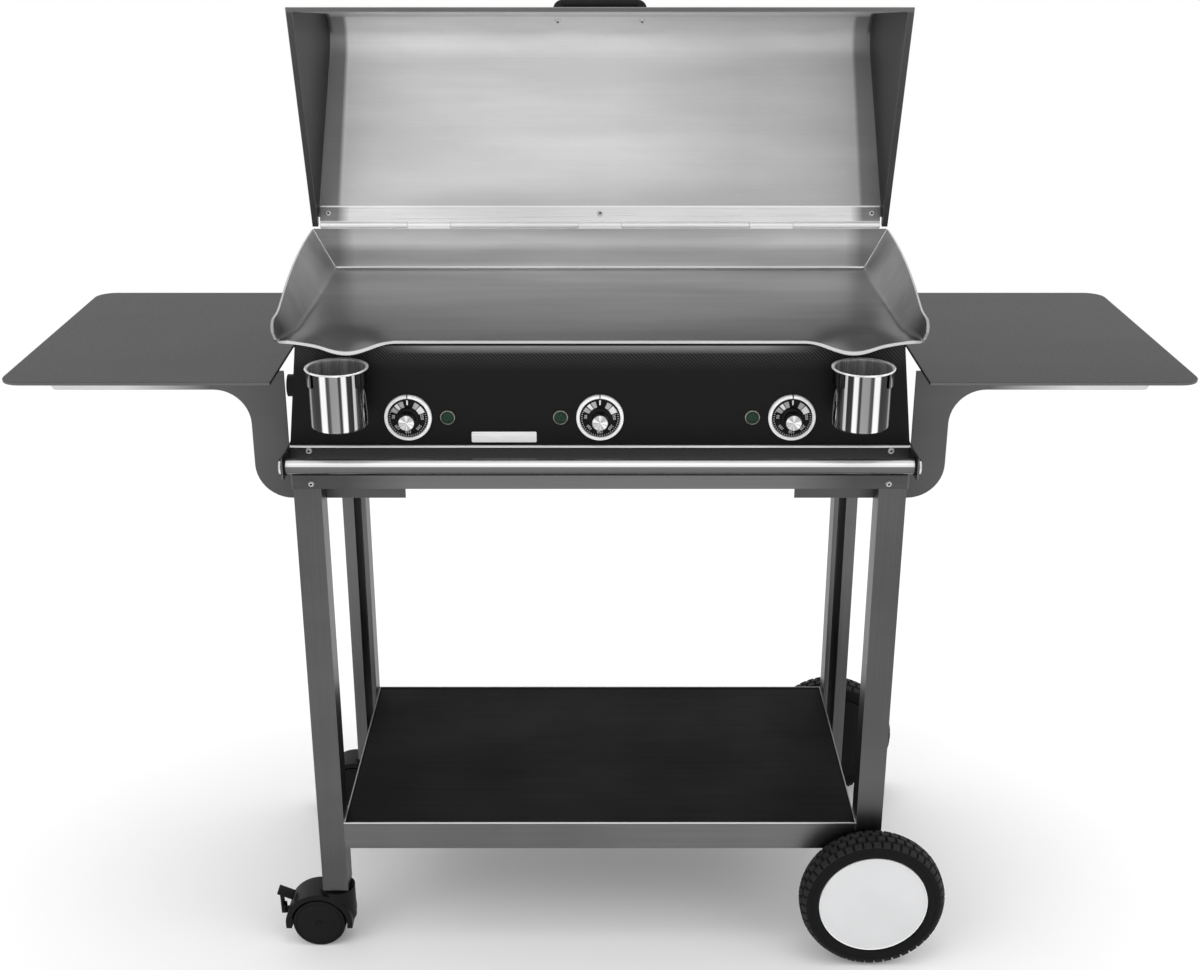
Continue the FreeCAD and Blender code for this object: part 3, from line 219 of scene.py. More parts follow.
swing = doMath(paintedMirrorBands, "DIVIDE", doMath(paintedMirrorBands, "ARCTAN2", aside, fore), pi)
swing = doMath(paintedMirrorBands, "FRACT", doMath(paintedMirrorBands, "ADD", swing, 0.5))
closeGroup(paintedMirrorBands, band=greyRamp(paintedMirrorBands, swing, cupReflectionBands))


def newMaterial(name, **sockets):
    material = bpy.data.materials.new(name)
    material.use_nodes = True
    shader = material.node_tree.nodes["Principled BSDF"]
    for key, entry in sockets.items():
        shader.inputs[key.replace("_", " ")].default_value = entry
    return material, material.node_tree


def dress(material, tone, rough, height, strength, depth, normal=None):
    # colour, roughness and relief
    tree = material.node_tree
    shader = tree.nodes["Principled BSDF"]
    relief = {"Strength": strength, "Distance": depth, "Height": height}
    if normal:
        relief["Normal"] = normal
    tree.links.new(tone, shader.inputs["Base Color"])
    tree.links.new(rough, shader.inputs["Roughness"])
    tree.links.new(nodeOut(tree, "ShaderNodeBump", relief), shader.inputs["Normal"])
    return material


# what a mask can follow over a piece: where a spot is, or which way its surface faces
maskSources = {
    "x": lambda tree: surfaceAxes(tree, "Object")[0],
    "y": lambda tree: surfaceAxes(tree, "Object")[1],
    "z": lambda tree: surfaceAxes(tree, "Object")[2],
    "aside": lambda tree: doMath(tree, "ABSOLUTE", maskSources["x"](tree)),
    "reach": lambda tree: doMath(tree, "ADD", maskSources["aside"](tree),
                                 times(tree, maskSources["z"](tree), 0.05)),
    "faceY": lambda tree: surfaceAxes(tree, "Normal")[1],
    "faceZ": lambda tree: surfaceAxes(tree, "Normal")[2],
    "level": lambda tree: doMath(tree, "ABSOLUTE", maskSources["faceZ"](tree)),
    "inward": lambda tree: times(tree, surfaceAxes(tree, "Normal")[0],
                                 doMath(tree, "SIGN", maskSources["x"](tree))),
}


def addShades(tree, tone, shades):
    # each shade is a grey and one or two masks that bring it in
    for level, *masks in shades:
        parts = [remap(tree, maskSources[kind](tree), *span) for kind, *span in masks]
        mask = times(tree, *parts) if len(parts) == 2 else parts[0]
        tone = mixColour(tree, mask, tone, grey(level))
    return tone


lidInside = ("faceY", -0.15, -0.3)
splashFace = ("faceY", -0.6, -0.9)
shelfRim = ("z", 0.1998, 0.2001)
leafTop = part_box("lid_hinge_leaf")[1].z
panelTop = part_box("control_panel")[1].z
pieceShades = {
    # painted light on the lid: a painted highlight paler inside and palest at the ridge, painted shade
    # duller to the right, a painted reflection of the walls as a dark strip beside the fold, painted shade
    # on the dark walls; painted shade as a grey rim along the free edge and a grey flange
    "lid": [(0.57, lidInside), (0.86, lidInside, ("z", 0.99, 1.19)), (0.7, lidInside, ("z", 1.178, 1.196)),
            (0.37, lidInside, ("x", 0.02, 0.2, 0, 0.5)), (0.22, lidInside, ("reach", 0.4125, 0.418)),
            (0.028, ("inward", -0.55, -0.8)), (0.14, ("faceZ", -0.85, -0.95)),
            (0.7, ("faceZ", -0.85, -0.95), ("aside", 0.376, 0.372)),
            (0.07, ("faceZ", -0.3, -0.42), ("aside", 0.372, 0.376)), (0.14, ("z", 1.2595, 1.2605))],
    # painted shade: grey beside the lid's walls and below the barrel; painted highlight: white on the
    # barrel and the leaf's top edge
    "leaf": [(0.2, ("reach", 0.4, 0.417)), (0.95, ("z", 0.9637, 0.9625)), (0.35, ("z", 0.951, 0.95)),
             (0.95, ("z", leafTop - 0.0022, leafTop - 0.0016))],
    # painted reflection paler towards the back; grey again in the corners of the splash as painted shade,
    # and behind it
    "plate": [(0.58, ("y", -0.2, 0.14)), (0.5, splashFace), (0.52, splashFace, ("z", 0.932, 0.934)),
              (0.26, splashFace, ("aside", 0.345, 0.368)), (0.3, ("faceY", 0.5, 0.8))],
    # the painted highlight on the lip, bend and cut edges is greyer along the guards
    "plateEdge": [(0.4, ("aside", 0.376, 0.386))],
    # painted reflection of the floor, pale along the outer flange
    "bracket": [(0.12, ("aside", 0.4, 0.47)), (0.7, ("aside", 0.49, 0.6))],
    # painted shade on the faces that look inwards, a painted highlight paler on the front of the rear legs
    "leg": [(0.05, ("inward", -0.6, -0.9)), (0.15, ("y", 0.0, 0.1), ("faceY", -0.6, -0.9))],
    # painted highlight paler in the middle, painted shade dark above the push bar, a painted highlight as a
    # white hem along the top; dark seam under the bar
    "rail": [(0.165, ("aside", 0.32, 0.24)), (0.035, ("z", 0.731, 0.735)), (0.95, ("z", 0.7514, 0.7518)),
             (0.004, ("z", 0.7134, 0.7138), ("z", 0.716, 0.7156))],
    # painted highlight, paler round the cut edge
    "table": [(0.15, ("level", 0.6, 0.3))],
    # painted highlight: pale rim, palest along the front
    "shelfRail": [(0.3, shelfRim), (0.68, shelfRim, ("y", -0.168, -0.174))],
    # painted reflection as a pale band under the plate's lip, with the lip's painted dark shadow above it
    "panel": [(0.24, ("aside", 0.27, 0.2), ("z", panelTop - 0.0205, panelTop - 0.011)),
              (0.004, ("z", panelTop - 0.0104, panelTop - 0.0098))],
}


# brushed steel in its different greys
def brushedSteel(name, dark, light, rough, stretch, grain=0.1, edge=None, edgeRadius=0.0012, shades=(),
                 metal=1.0, relief=0.1, sheen=0.5, smear=0.04):
    material, tree = newMaterial(name, Metallic=metal, Specular_IOR_Level=sheen)
    marks = useGroup(tree, brushedGrain, stretch=stretch)
    rim = useGroup(tree, sheetEdge, radius=edgeRadius)
    tone = mixColour(tree, remap(tree, marks["cloudiness"], *noiseSpan), grey(dark), grey(light))
    tone = addShades(tree, tone, shades)
    lift = times(tree, remap(tree, marks["streak"], *noiseSpan, 1 - grain, 1 + grain),
                 remap(tree, marks["smear"], 0.35, 0.65, 1 - smear, 1 + smear))
    tone = scaled(tree, tone, lift)
    # edges painted in their own grey: a painted highlight where it is lighter than the sheet, painted shade
    # where it is darker
    if edge:
        tone = mixColour(tree, rim["edge"], tone, grey(edge))
    uneven = remap(tree, marks["streak"], *noiseSpan, rough - 0.04, rough + 0.06)
    return dress(material, tone, uneven, marks["streak"], relief, 0.00005, rim["rounded"])


# polished and turned metal
def turnedMetal(name, dark, light, rough, around, along, tint=(1, 1, 1), metal=1.0):
    material, tree = newMaterial(name, Metallic=metal)
    grain = useGroup(tree, turnedGrain, around=around, along=along)
    tone = mixColour(tree, remap(tree, grain["streak"], 0.38, 0.62), grey(dark, tint), grey(light, tint))
    uneven = remap(tree, grain["fine"], *noiseSpan, rough * 0.7, rough * 1.4)
    return dress(material, tone, uneven, grain["fine"], 0.1, 0.00004)


# polished steel whose colour is the painted reflection bands
def reflectionBandedSteel(name):
    material, tree = newMaterial(name, Metallic=1.0)
    bands = useGroup(tree, paintedMirrorBands, across=cupPlace["across"], depth=legFront - cupPlace["fore"])
    fine = useGroup(tree, pebble, scale=120)
    uneven = remap(tree, fine["patch"], *noiseSpan, 0.06, 0.14)
    return dress(material, bands["band"], uneven, fine["height"], 0.03, 0.00005)


def polishedBar(name):
    # painted reflection on the tube: dark on top, bright along its upper front, grey below
    material, tree = newMaterial(name, Metallic=0.35)
    grain = useGroup(tree, brushedGrain, stretch=(3, 500, 500), cloud=2.0)
    upward = remap(tree, maskSources["faceZ"](tree), -1, 1)
    tone = greyRamp(tree, upward, [
        (0.0, 0.08), (0.3, 0.1), (0.5, 0.12), (0.6, 0.15), (0.63, 0.26), (0.65, 0.74), (0.775, 0.76),
        (0.79, 0.95), (0.835, 0.95), (0.85, 0.6), (0.955, 0.62), (0.968, 0.1), (1.0, 0.06)])
    tone = scaled(tree, tone, remap(tree, grain["streak"], *noiseSpan, 0.94, 1.06))
    uneven = remap(tree, grain["cloudiness"], *noiseSpan, 0.08, 0.16)
    return dress(material, tone, uneven, grain["streak"], 0.08, 0.00004)


# plastics, rubber, coated sheet
def coated(name, dark, light, rough, scale, strength, tint=(1, 1, 1), sheen=0.5):
    material, tree = newMaterial(name, Specular_IOR_Level=sheen)
    grain = useGroup(tree, pebble, scale=scale)
    rim = useGroup(tree, sheetEdge, radius=0.001)
    tone = mixColour(tree, remap(tree, grain["patch"], *noiseSpan), grey(dark, tint), grey(light, tint))
    uneven = remap(tree, grain["patch"], *noiseSpan, rough - 0.06, rough + 0.06)
    return dress(material, tone, uneven, grain["height"], strength, 0.0002, rim["rounded"])


def panelWeave(name):
    # painted glint: the cloth is paler towards the top
    material, tree = newMaterial(name, Specular_IOR_Level=0.12)
    cloth = useGroup(tree, twill, tow=0.00115)
    tone = mixColour(tree, cloth["over"], grey(0.0062), grey(0.0095, (1, 1, 0.96)))
    tone = mixColour(tree, times(tree, cloth["height"], 0.5), grey(0.0045), tone)
    high = remap(tree, maskSources["z"](tree), panelTop - 0.042, panelTop - 0.02)
    tone = mixColour(tree, times(tree, high, cloth["over"]), tone, grey(0.036))
    tone = addShades(tree, tone, pieceShades["panel"])
    uneven = remap(tree, cloth["height"], 0, 1, 0.5, 0.38)
    return dress(material, tone, uneven, cloth["height"], 0.2, 0.0002)


def blackBoard(name):
    material, tree = newMaterial(name, Specular_IOR_Level=0.06)
    grain = useGroup(tree, brushedGrain, stretch=(5, 120, 120), cloud=6.0)
    fine = useGroup(tree, pebble, scale=600)
    tone = mixColour(tree, remap(tree, grain["streak"], 0.35, 0.68), grey(0.0045), grey(0.0075))
    uneven = remap(tree, grain["cloudiness"], *noiseSpan, 0.5, 0.66)
    height = doMath(tree, "ADD", grain["streak"], fine["height"])
    return dress(material, tone, uneven, height, 0.15, 0.0002)


def lampGlass(name):
    material, tree = newMaterial(name, Specular_IOR_Level=0.25)
    dots = nodeOut(tree, "ShaderNodeTexVoronoi", {"Vector": objectPlace(tree), "Scale": 700.0})
    tone = mixColour(tree, remap(tree, dots, 0.1, 0.6), (0.006, 0.05, 0.02, 1), (0.002, 0.016, 0.007, 1))
    return dress(material, tone, remap(tree, dots, 0.1, 0.6, 0.3, 0.16), dots, 0.3, 0.0003)


looks = {
    "leg": brushedSteel("legSteel", 0.09, 0.125, 0.36, (400, 400, 4), 0.08, 0.2, shades=pieceShades["leg"]),
    "rail": brushedSteel("railSteel", 0.07, 0.084, 0.36, (4, 400, 400), 0.08, shades=pieceShades["rail"],
                         metal=0.4, sheen=0.15),
    "frameRail": brushedSteel("frameRailSteel", 0.08, 0.11, 0.36, (4, 400, 400), 0.08, 0.3),
    "shelfRail": brushedSteel("shelfRailSteel", 0.13, 0.17, 0.34, (4, 400, 400), 0.08,
                              shades=pieceShades["shelfRail"]),
    "table": brushedSteel("tableSteel", 0.041, 0.051, 0.45, (350, 350, 350), 0.04, 0.16,
                          shades=pieceShades["table"], relief=0.05),
    "bracket": brushedSteel("bracketSteel", 0.085, 0.1, 0.4, (5, 300, 300), 0.04, 0.3,
                            shades=pieceShades["bracket"]),
    "plate": brushedSteel("plateSteel", 0.165, 0.195, 0.34, (5, 400, 400), 0.05,
                          shades=pieceShades["plate"], smear=0.16),
    # pale grey of the plate's lip, splash bend and cut edges: a painted highlight, on the cut edges partly
    # their polish
    "plateEdge": brushedSteel("plateEdge", 0.58, 0.72, 0.2, (6, 500, 500), 0.06,
                              shades=pieceShades["plateEdge"], smear=0.1),
    "lid": brushedSteel("lidSteel", 0.36, 0.43, 0.4, (3, 600, 600), 0.03, 0.35, 0.0008, pieceShades["lid"],
                        metal=0.3, relief=0.04, sheen=0.25, smear=0.09),
    "leaf": brushedSteel("leafSteel", 0.7, 0.8, 0.3, (5, 500, 500), 0.08, 0.85, 0.0009, pieceShades["leaf"],
                         metal=0.4, smear=0.1),
    "control": brushedSteel("controlSteel", 0.3, 0.45, 0.4, (90, 90, 90)),
    "zinc": brushedSteel("zincSteel", 0.6, 0.75, 0.28, (400, 400, 400), 0.1, 0.1, 0.0007, metal=0.6),
    "silver": brushedSteel("silverPlate", 0.77, 0.85, 0.3, (8, 500, 500), 0.03, metal=0.3),
    "chrome": brushedSteel("capChrome", 0.6, 0.8, 0.12, (200, 200, 200), 0.1, 0.3),
    "bands": reflectionBandedSteel("cupReflectionBands"),
    "polish": polishedBar("barPolish"),
    # cup inside darker as painted shade, cup rim bright as a painted highlight
    "cupInside": turnedMetal("cupInside", 0.14, 0.4, 0.25, 1.4, 0.1, metal=0.7),
    "cupRim": turnedMetal("cupRim", 0.6, 0.95, 0.12, 2.2, 0.2, metal=0.5),
    # knob cap: spun grain, its bright and dark sectors round the centre a painted highlight
    "knob": turnedMetal("knobSilver", 0.42, 0.98, 0.26, 1.7, 0.0),
    "lampRim": turnedMetal("lampRim", 0.42, 0.66, 0.3, 2.0, 1.0, (1, 0.98, 0.9)),
    "plastic": coated("blackPlastic", 0.004, 0.007, 0.45, 900, 0.2, sheen=0.13),
    "dial": coated("dialBlack", 0.003, 0.006, 0.36, 1500, 0.1, sheen=0.1),
    "rubber": coated("tyreRubber", 0.005, 0.008, 0.75, 700, 0.45, (1, 1, 1.06), 0.12),
    # tread blocks paler than the carcass: a painted highlight on the same rubber
    "treadRubber": coated("treadRubber", 0.01, 0.017, 0.66, 700, 0.5, (1, 0.99, 0.95), 0.25),
    "tread": coated("casterTread", 0.004, 0.007, 0.42, 800, 0.2, sheen=0.13),
    "sheet": coated("sheetBlack", 0.006, 0.01, 0.5, 500, 0.2, sheen=0.15),
    "white": coated("whiteRing", 0.84, 0.9, 0.34, 600, 0.05),
    "hubWhite": coated("hubWhite", 0.66, 0.72, 0.45, 500, 0.04, (0.985, 0.99, 1), 0.3),
    "hubRim": coated("hubRim", 0.9, 0.95, 0.25, 500, 0.04),
    "board": coated("mineralBoard", 0.42, 0.55, 0.9, 200, 0.5, (1, 0.95, 0.85)),
    "cable": coated("cableRubber", 0.012, 0.02, 0.6, 900, 0.2, sheen=0.2),
    "socketShade": coated("socketShadeDisc", 0.01, 0.02, 0.5, 900, 0.1, sheen=0.1),
    "print": coated("dialPrint", 0.74, 0.84, 0.5, 900, 0.05),
    "printGrey": coated("dialPrintGrey", 0.3, 0.5, 0.5, 260, 0.05),
    "panel": panelWeave("panelWeave"),
    "shelf": blackBoard("shelfBlack"),
    "lamp": lampGlass("lampGreen"),
}
print("materials ready")

# finish of each CAD node that no piece replaces
wears = {
    "leg": "front_legs rear_legs",
    "rail": "upper_front_rail",
    "frameRail": "upper_rear_rail upper_side_rails",
    "sheet": "housing rear_cover",
    "shelfRail": "lower_shelf_rails",
    "bracket": "shelf_brackets",
    "lid": "lid_shell",
    "leaf": "lid_hinge_leaf hinge_knuckles hinge_pin",
    "polish": "push_bar",
    "chrome": "push_bar_caps",
    "bands": "cup_clips",
    "zinc": "wheel_axle",
    "control": "heating_elements thermostats",
    "panel": "control_panel",
    "shelf": "lower_shelf_panel",
    "board": "insulation_board",
    "cable": "wiring_loom",
    "dial": "dial_left dial_centre dial_right",
    "plastic": "front_hub rear_hub push_bar_collars cable_gland terminal_block caster_sockets "
               "caster_front_body caster_rear_body",
}
for look, names in wears.items():
    for name in names.split():
        nodes[name].data.materials.clear()
        nodes[name].data.materials.append(looks[look])


# mesh helpers
def addPiece(name, mesh, body, stands=(), sharp=35):
    mesh.shade_smooth()
    mesh.set_sharp_from_angle(angle=radians(sharp))
    piece = addObject(name, mesh)
    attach(piece, body)
    if stands:
        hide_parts(*stands)


def meshFrom(bm, name, *materials):
    mesh = bpy.data.meshes.new(name)
    bm.to_mesh(mesh)
    bm.free()
    for material in materials:
        mesh.materials.append(material)
    return mesh


def turnShape(name, profile, place, axis, look, segments=64, knurl=None):
    # profile: radius and distance along the axis, listed from one end of the outline to the other
    bm = bmesh.new()
    uvs = bm.loops.layers.uv.new("turned")
    lengths = [0.0]
    for (r0, d0), (r1, d1) in zip(profile, profile[1:]):
        lengths.append(lengths[-1] + hypot(r1 - r0, d1 - d0))
    rings = []
    for j, (radius, along) in enumerate(profile):
        row = []
        for i in range(segments):
            turn = 2 * pi * i / segments
            reach = radius - (knurl["depth"] if knurl and i % 2 and j in knurl["rows"] else 0)
            row.append(bm.verts.new((reach * cos(turn), reach * sin(turn), along)))
        rings.append(row)
    for j in range(len(profile) - 1):
        for i in range(segments):
            k = (i + 1) % segments
            face = bm.faces.new((rings[j][i], rings[j][k], rings[j + 1][k], rings[j + 1][i]))
            corners = ((i, j), (i + 1, j), (i + 1, j + 1), (i, j + 1))
            for loop, (u, v) in zip(face.loops, corners):
                loop[uvs].uv = (u / segments, lengths[v] / lengths[-1])
    bmesh.ops.remove_doubles(bm, verts=bm.verts, dist=1e-6)
    bmesh.ops.dissolve_degenerate(bm, edges=bm.edges, dist=1e-7)
    bmesh.ops.recalc_face_normals(bm, faces=bm.faces)
    standing = Vector((0, 0, 1)).rotation_difference(Vector(axis)).to_matrix().to_4x4()
    bm.transform(Matrix.Translation(place) @ standing)
    return meshFrom(bm, name, looks[look])


def joinMeshes(name, meshes):
    bm = bmesh.new()
    materials = []
    for mesh in meshes:
        start = len(bm.faces)
        bm.from_mesh(mesh)
        bm.faces.ensure_lookup_table()
        for face in bm.faces[start:]:
            owner = mesh.materials[face.material_index]
            if owner not in materials:
                materials.append(owner)
            face.material_index = materials.index(owner)
    return meshFrom(bm, name, *materials)


def centreOf(name):
    low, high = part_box(name)
    return (low + high) / 2


def plainMesh(holder, name):
    # the mesh that an object's modifiers give, kept without them
    seen = holder.evaluated_get(bpy.context.evaluated_depsgraph_get())
    mesh = bpy.data.meshes.new_from_object(seen)
    holder.modifiers.clear()
    bpy.data.objects.remove(holder)
    mesh.name = name
    return mesh


def bakeTree(base, tree, inputs, name):
    holder = addObject(name + "Holder", base)
    modifier = holder.modifiers.new("nodes", "NODES")
    modifier.node_group = tree
    for item in tree.interface.items_tree:
        if item.in_out == "INPUT" and item.name in inputs:
            modifier[item.identifier] = inputs[item.name]
    return plainMesh(holder, name)


def bakeModifier(base, name, kind, **settings):
    holder = addObject(name + "Holder", base)
    modifier = holder.modifiers.new(kind.lower(), kind)
    for key, entry in settings.items():
        setattr(modifier, key, entry)
    return plainMesh(holder, name)


def newTree(name, inputs):
    tree = bpy.data.node_groups.new(name, "GeometryNodeTree")
    tree.interface.new_socket("Geometry", in_out="INPUT", socket_type="NodeSocketGeometry")
    for label, kind in inputs.items():
        tree.interface.new_socket(label, in_out="INPUT", socket_type="NodeSocket" + kind)
    tree.interface.new_socket("Geometry", in_out="OUTPUT", socket_type="NodeSocketGeometry")
    return tree, tree.nodes.new("NodeGroupInput").outputs


def closeTree(tree, geometry):
    tree.links.new(geometry, tree.nodes.new("NodeGroupOutput").inputs[0])


def joinAll(tree, parts):
    joined = tree.nodes.new("GeometryNodeJoinGeometry")
    for part in parts:
        tree.links.new(part, joined.inputs[0])
    return joined.outputs[0]


def settle(tree, instances, material):
    # instances made real, in their finish
    whole = nodeOut(tree, "GeometryNodeRealizeInstances", {0: instances})
    return nodeOut(tree, "GeometryNodeSetMaterial", {"Geometry": whole, "Material": material})


def gridMesh(name, rows, materials, rowLooks):
    # sheet through rows of points; rowLooks gives the material number of each row of faces
    bm = bmesh.new()
    grid = [[bm.verts.new(point) for point in row] for row in rows]
    for r in range(len(grid) - 1):
        for c in range(len(grid[0]) - 1):
            face = bm.faces.new((grid[r][c], grid[r][c + 1], grid[r + 1][c + 1], grid[r + 1][c]))
            face.material_index = rowLooks[r]
    return meshFrom(bm, name, *materials)


def smoothStep(share):
    share = min(max(share, 0), 1)
    return share * share * (3 - 2 * share)


# griddle plate: one folded sheet with a rolled front lip, two pour spouts, flared guards and a back splash
plate = {"half": 0.372, "cornerOut": 0.016, "front": -0.03, "back": 0.338, "sheet": 0.0036, "bend": 0.007,
         "lean": 27.9, "cornerBend": 0.0035, "cornerLean": 4.5, "cornerFrom": 0.02, "cornerLong": 0.05,
         "guardFront": 0.024, "guardRear": 0.0565, "guardBow": 0.0072, "guardCorner": 0.012,
         "guardOver": 0.008, "overFrom": 0.05, "overLong": 0.08, "floorFrom": 0.335,
         "lip": 0.003, "spoutAcross": 0.306, "spoutHalf": 0.06, "spoutDeep": 0.015, "spoutStart": 0.055,
         "splashHigh": 0.057, "splashBend": 0.005, "splashFold": 0.036, "splashSheet": 0.0028,
         "splashLift": 0.0002, "splashRows": (0.012, 0.024), "splashBack": 0.001, "splashClear": 0.0008,
         "splashColumns": 24}
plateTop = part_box("control_panel")[1].z + 0.004


def spoutDip(x, y):
    share = min(max((plate["spoutStart"] - y) / (plate["spoutStart"] - plate["front"]), 0), 1) ** 2
    off = abs(abs(x) - plate["spoutAcross"]) / plate["spoutHalf"]
    return plate["spoutDeep"] * share * (0.5 + 0.5 * cos(pi * off)) if off < 1 else 0.0


def guardHigh(y):
    long = plate["back"] - plate["front"] + plate["guardOver"]
    share = (y - plate["front"] + plate["guardOver"]) / long
    high = plate["guardFront"] + (plate["guardRear"] - plate["guardFront"]) * share
    high += plate["guardBow"] * 4 * share * (1 - share)
    short = 1 - (y - plate["front"]) / plate["guardCorner"]
    return high - plate["guardCorner"] * (1 - sqrt(1 - short ** 2)) if short > 0 else high


def platePoint(part, share, side, y, drop):
    # the guards stand steeper and further out towards the front corners
    corner = smoothStep((plate["cornerFrom"] - y) / plate["cornerLong"])
    rise = radians(90 - plate["lean"] - (plate["cornerLean"] - plate["lean"]) * corner)
    bend = plate["bend"] + (plate["cornerBend"] - plate["bend"]) * corner
    foot = plate["half"] + plate["cornerOut"] * corner - bend * tan(rise / 2)
    if part == "floor":
        spread = smoothStep((share - plate["floorFrom"]) / (floorEnd - plate["floorFrom"]))
        x = share + (foot - floorEnd) * spread
        z = drop - spoutDip(share, y)
    elif part == "bend":
        x = foot + bend * sin(rise * share)
        z = bend * (1 - cos(rise * share)) + drop * (1 - share)
    else:
        start = bend * (1 - cos(rise))
        z = start + share * (guardHigh(y) - start)
        x = foot + bend * sin(rise) + (z - start) / tan(rise)
        y -= plate["guardOver"] * share * smoothStep((plate["overFrom"] - y) / plate["overLong"])
    return (side * x, legFront + y, plateTop + z)


floorEnd = plate["half"] - plate["bend"] * tan(radians(90 - plate["lean"]) / 2)
quarter = [pi / 2 * i / 5 for i in range(6)]
depths = [(plate["front"] + plate["lip"] * (1 - cos(t)), -plate["lip"] * (1 - sin(t))) for t in quarter]
floorDepths = (-0.022, -0.016, -0.009, -0.002, 0.006, 0.015, 0.025, 0.035, 0.044, 0.056, 0.08, 0.115,
               0.16, 0.21, 0.26, 0.3, plate["back"])
depths += [(y, 0.0) for y in floorDepths]
floorStops = [0.04, 0.08, 0.12, 0.16, 0.19, 0.215, 0.232] + [0.24 + 0.004 * i for i in range(32)]
halfway = [("floor", x) for x in floorStops + [floorEnd]]
halfway += [("bend", i / 5) for i in range(1, 6)]
halfway += [("guard", share) for share in (0.12, 0.3, 0.5, 0.7, 0.85, 0.94, 1.0)]
columns = [(part, share, -1) for part, share in reversed(halfway)] + [("floor", 0.0, 1)]
columns += [(part, share, 1) for part, share in halfway]
plateLooks = (looks["plate"], looks["plateEdge"])
solid = {"offset": -1, "use_even_offset": True, "material_offset_rim": 1}
tray = [[platePoint(*column, y, drop) for column in columns] for y, drop in depths]
# the rolled lip rows and the cut rims take the pale painted edge highlight
tray = gridMesh("tray", tray, plateLooks, [1] * 5 + [0] * (len(depths) - 6))
tray = bakeModifier(tray, "tray", "SOLIDIFY", thickness=plate["sheet"], **solid)

splashFront = plate["back"] - plate["splashSheet"]
splashBend, splashFold = plate["splashBend"], plate["splashFold"]
rises = [(splashFront - splashBend * (1 - sin(t)), plate["splashLift"] + splashBend * (1 - cos(t)))
         for t in quarter]
rises += [(splashFront, z) for z in (*plate["splashRows"], splashFold)]
rises += [(splashFront + 0.0006, splashFold + 0.002),
          (splashFront + plate["splashBack"], plate["splashHigh"])]
splashColumns = plate["splashColumns"]
splash = []
for y, z in rises:
    half = plate["half"] - plate["splashClear"] + z * tan(radians(plate["lean"]))
    splash.append([(u / splashColumns * half, legFront + y, plateTop + z)
                   for u in range(-splashColumns, splashColumns + 1)])
# the splash's bend rows take the pale painted edge highlight
splash = gridMesh("splash", splash, plateLooks, [0, 0, 1, 1] + [0] * 6)
splashSheet = plate["splashSheet"] - plate["splashBack"]
splash = bakeModifier(splash, "splash", "SOLIDIFY", thickness=splashSheet, **solid)
mesh = joinMeshes("foldedPlate", [tray, splash])
addPiece("foldedPlate", mesh, "cart", ("griddle_plate",), 32)
print("griddle plate ready")

# bolts and screws: low domed heads with a six-sided socket, set on points that know which way they face;
# places count from the front of the legs, and backs come with the way a head faces
bolts = {"sides": 20, "rings": 3, "dome": 0.32, "socket": 0.4, "socketHigh": 0.0002,
         "boltRadius": 0.0042, "boltHigh": 0.003, "screwRadius": 0.0032, "screwHigh": 0.002,
         "lidRadius": 0.0043, "lidHigh": 0.0026,
         "legAcross": 0.364, "legBacks": ((-0.002, -1), (0.392, 1)), "legHeights": (0.747, 0.7025),
         "shelfAcross": 0.351, "shelfBacks": (0.019, 0.371), "shelfHeight": 0.181,
         "sideAcross": 0.379, "sideBacks": ((0.04, 1), (0.35, -1)), "sideHeight": 0.68075}
headTree, given = newTree("domedHeads", {"Radius": "Float", "Height": "Float", "Metal": "Material",
                                         "SocketShade": "Material"})
blank = nodeOut(headTree, "GeometryNodeMeshCylinder", {
    "Vertices": bolts["sides"], "Side Segments": bolts["rings"], "Radius": given["Radius"],
    "Depth": given["Height"]})
raised = vector(headTree, z=times(headTree, given["Height"], 0.5))
blank = nodeOut(headTree, "GeometryNodeTransform", {"Geometry": blank, "Translation": raised})
where = nodeOut(headTree, "GeometryNodeInputPosition")
upward = addNode(headTree, "ShaderNodeSeparateXYZ", {0: where}).outputs[2]
upward = doMath(headTree, "POWER", doMath(headTree, "DIVIDE", upward, given["Height"]), 2.0)
drawIn = doMath(headTree, "SUBTRACT", 1.0, times(headTree, upward, bolts["dome"]))
domed = nodeOut(headTree, "ShaderNodeVectorMath", {0: where, 1: vector(headTree, drawIn, drawIn, 1.0)},
                operation="MULTIPLY")
head = nodeOut(headTree, "GeometryNodeSetPosition", {"Geometry": blank, "Position": domed})
# the six-sided socket is a thin dark disc on the head: painted shade for its hollow
socket = nodeOut(headTree, "GeometryNodeMeshCylinder", {
    "Vertices": 6, "Radius": times(headTree, given["Radius"], bolts["socket"]),
    "Depth": bolts["socketHigh"]})
onTop = vector(headTree, z=given["Height"])
socket = nodeOut(headTree, "GeometryNodeTransform", {"Geometry": socket, "Translation": onTop})
facing = nodeOut(headTree, "GeometryNodeInputNamedAttribute", {"Name": "facing"}, data_type="FLOAT_VECTOR")
turnTo = nodeOut(headTree, "FunctionNodeAlignRotationToVector", {"Vector": facing}, axis="Z")
headParts = []
for shape, look in ((head, "Metal"), (socket, "SocketShade")):
    placed = nodeOut(headTree, "GeometryNodeInstanceOnPoints", {
        "Points": given["Geometry"], "Instance": shape, "Rotation": turnTo})
    headParts.append(settle(headTree, placed, given[look]))
closeTree(headTree, joinAll(headTree, headParts))

hinge = {"back": 0.345, "height": 0.9575, "open": 60, "leafLean": 22, "leafScrew": 0.016,
         "leafSheet": 0.002, "leafAcross": 0.381, "ridgeAlong": 0.18155, "ridgeUp": 0.15765,
         "ridgeRadius": 0.046, "handleLean": 42, "handleAcross": 0.0585}


def hingeWay(degrees):
    # direction in the lid's side plane, counted back from straight up
    return Vector((0, sin(radians(degrees)), cos(radians(degrees))))


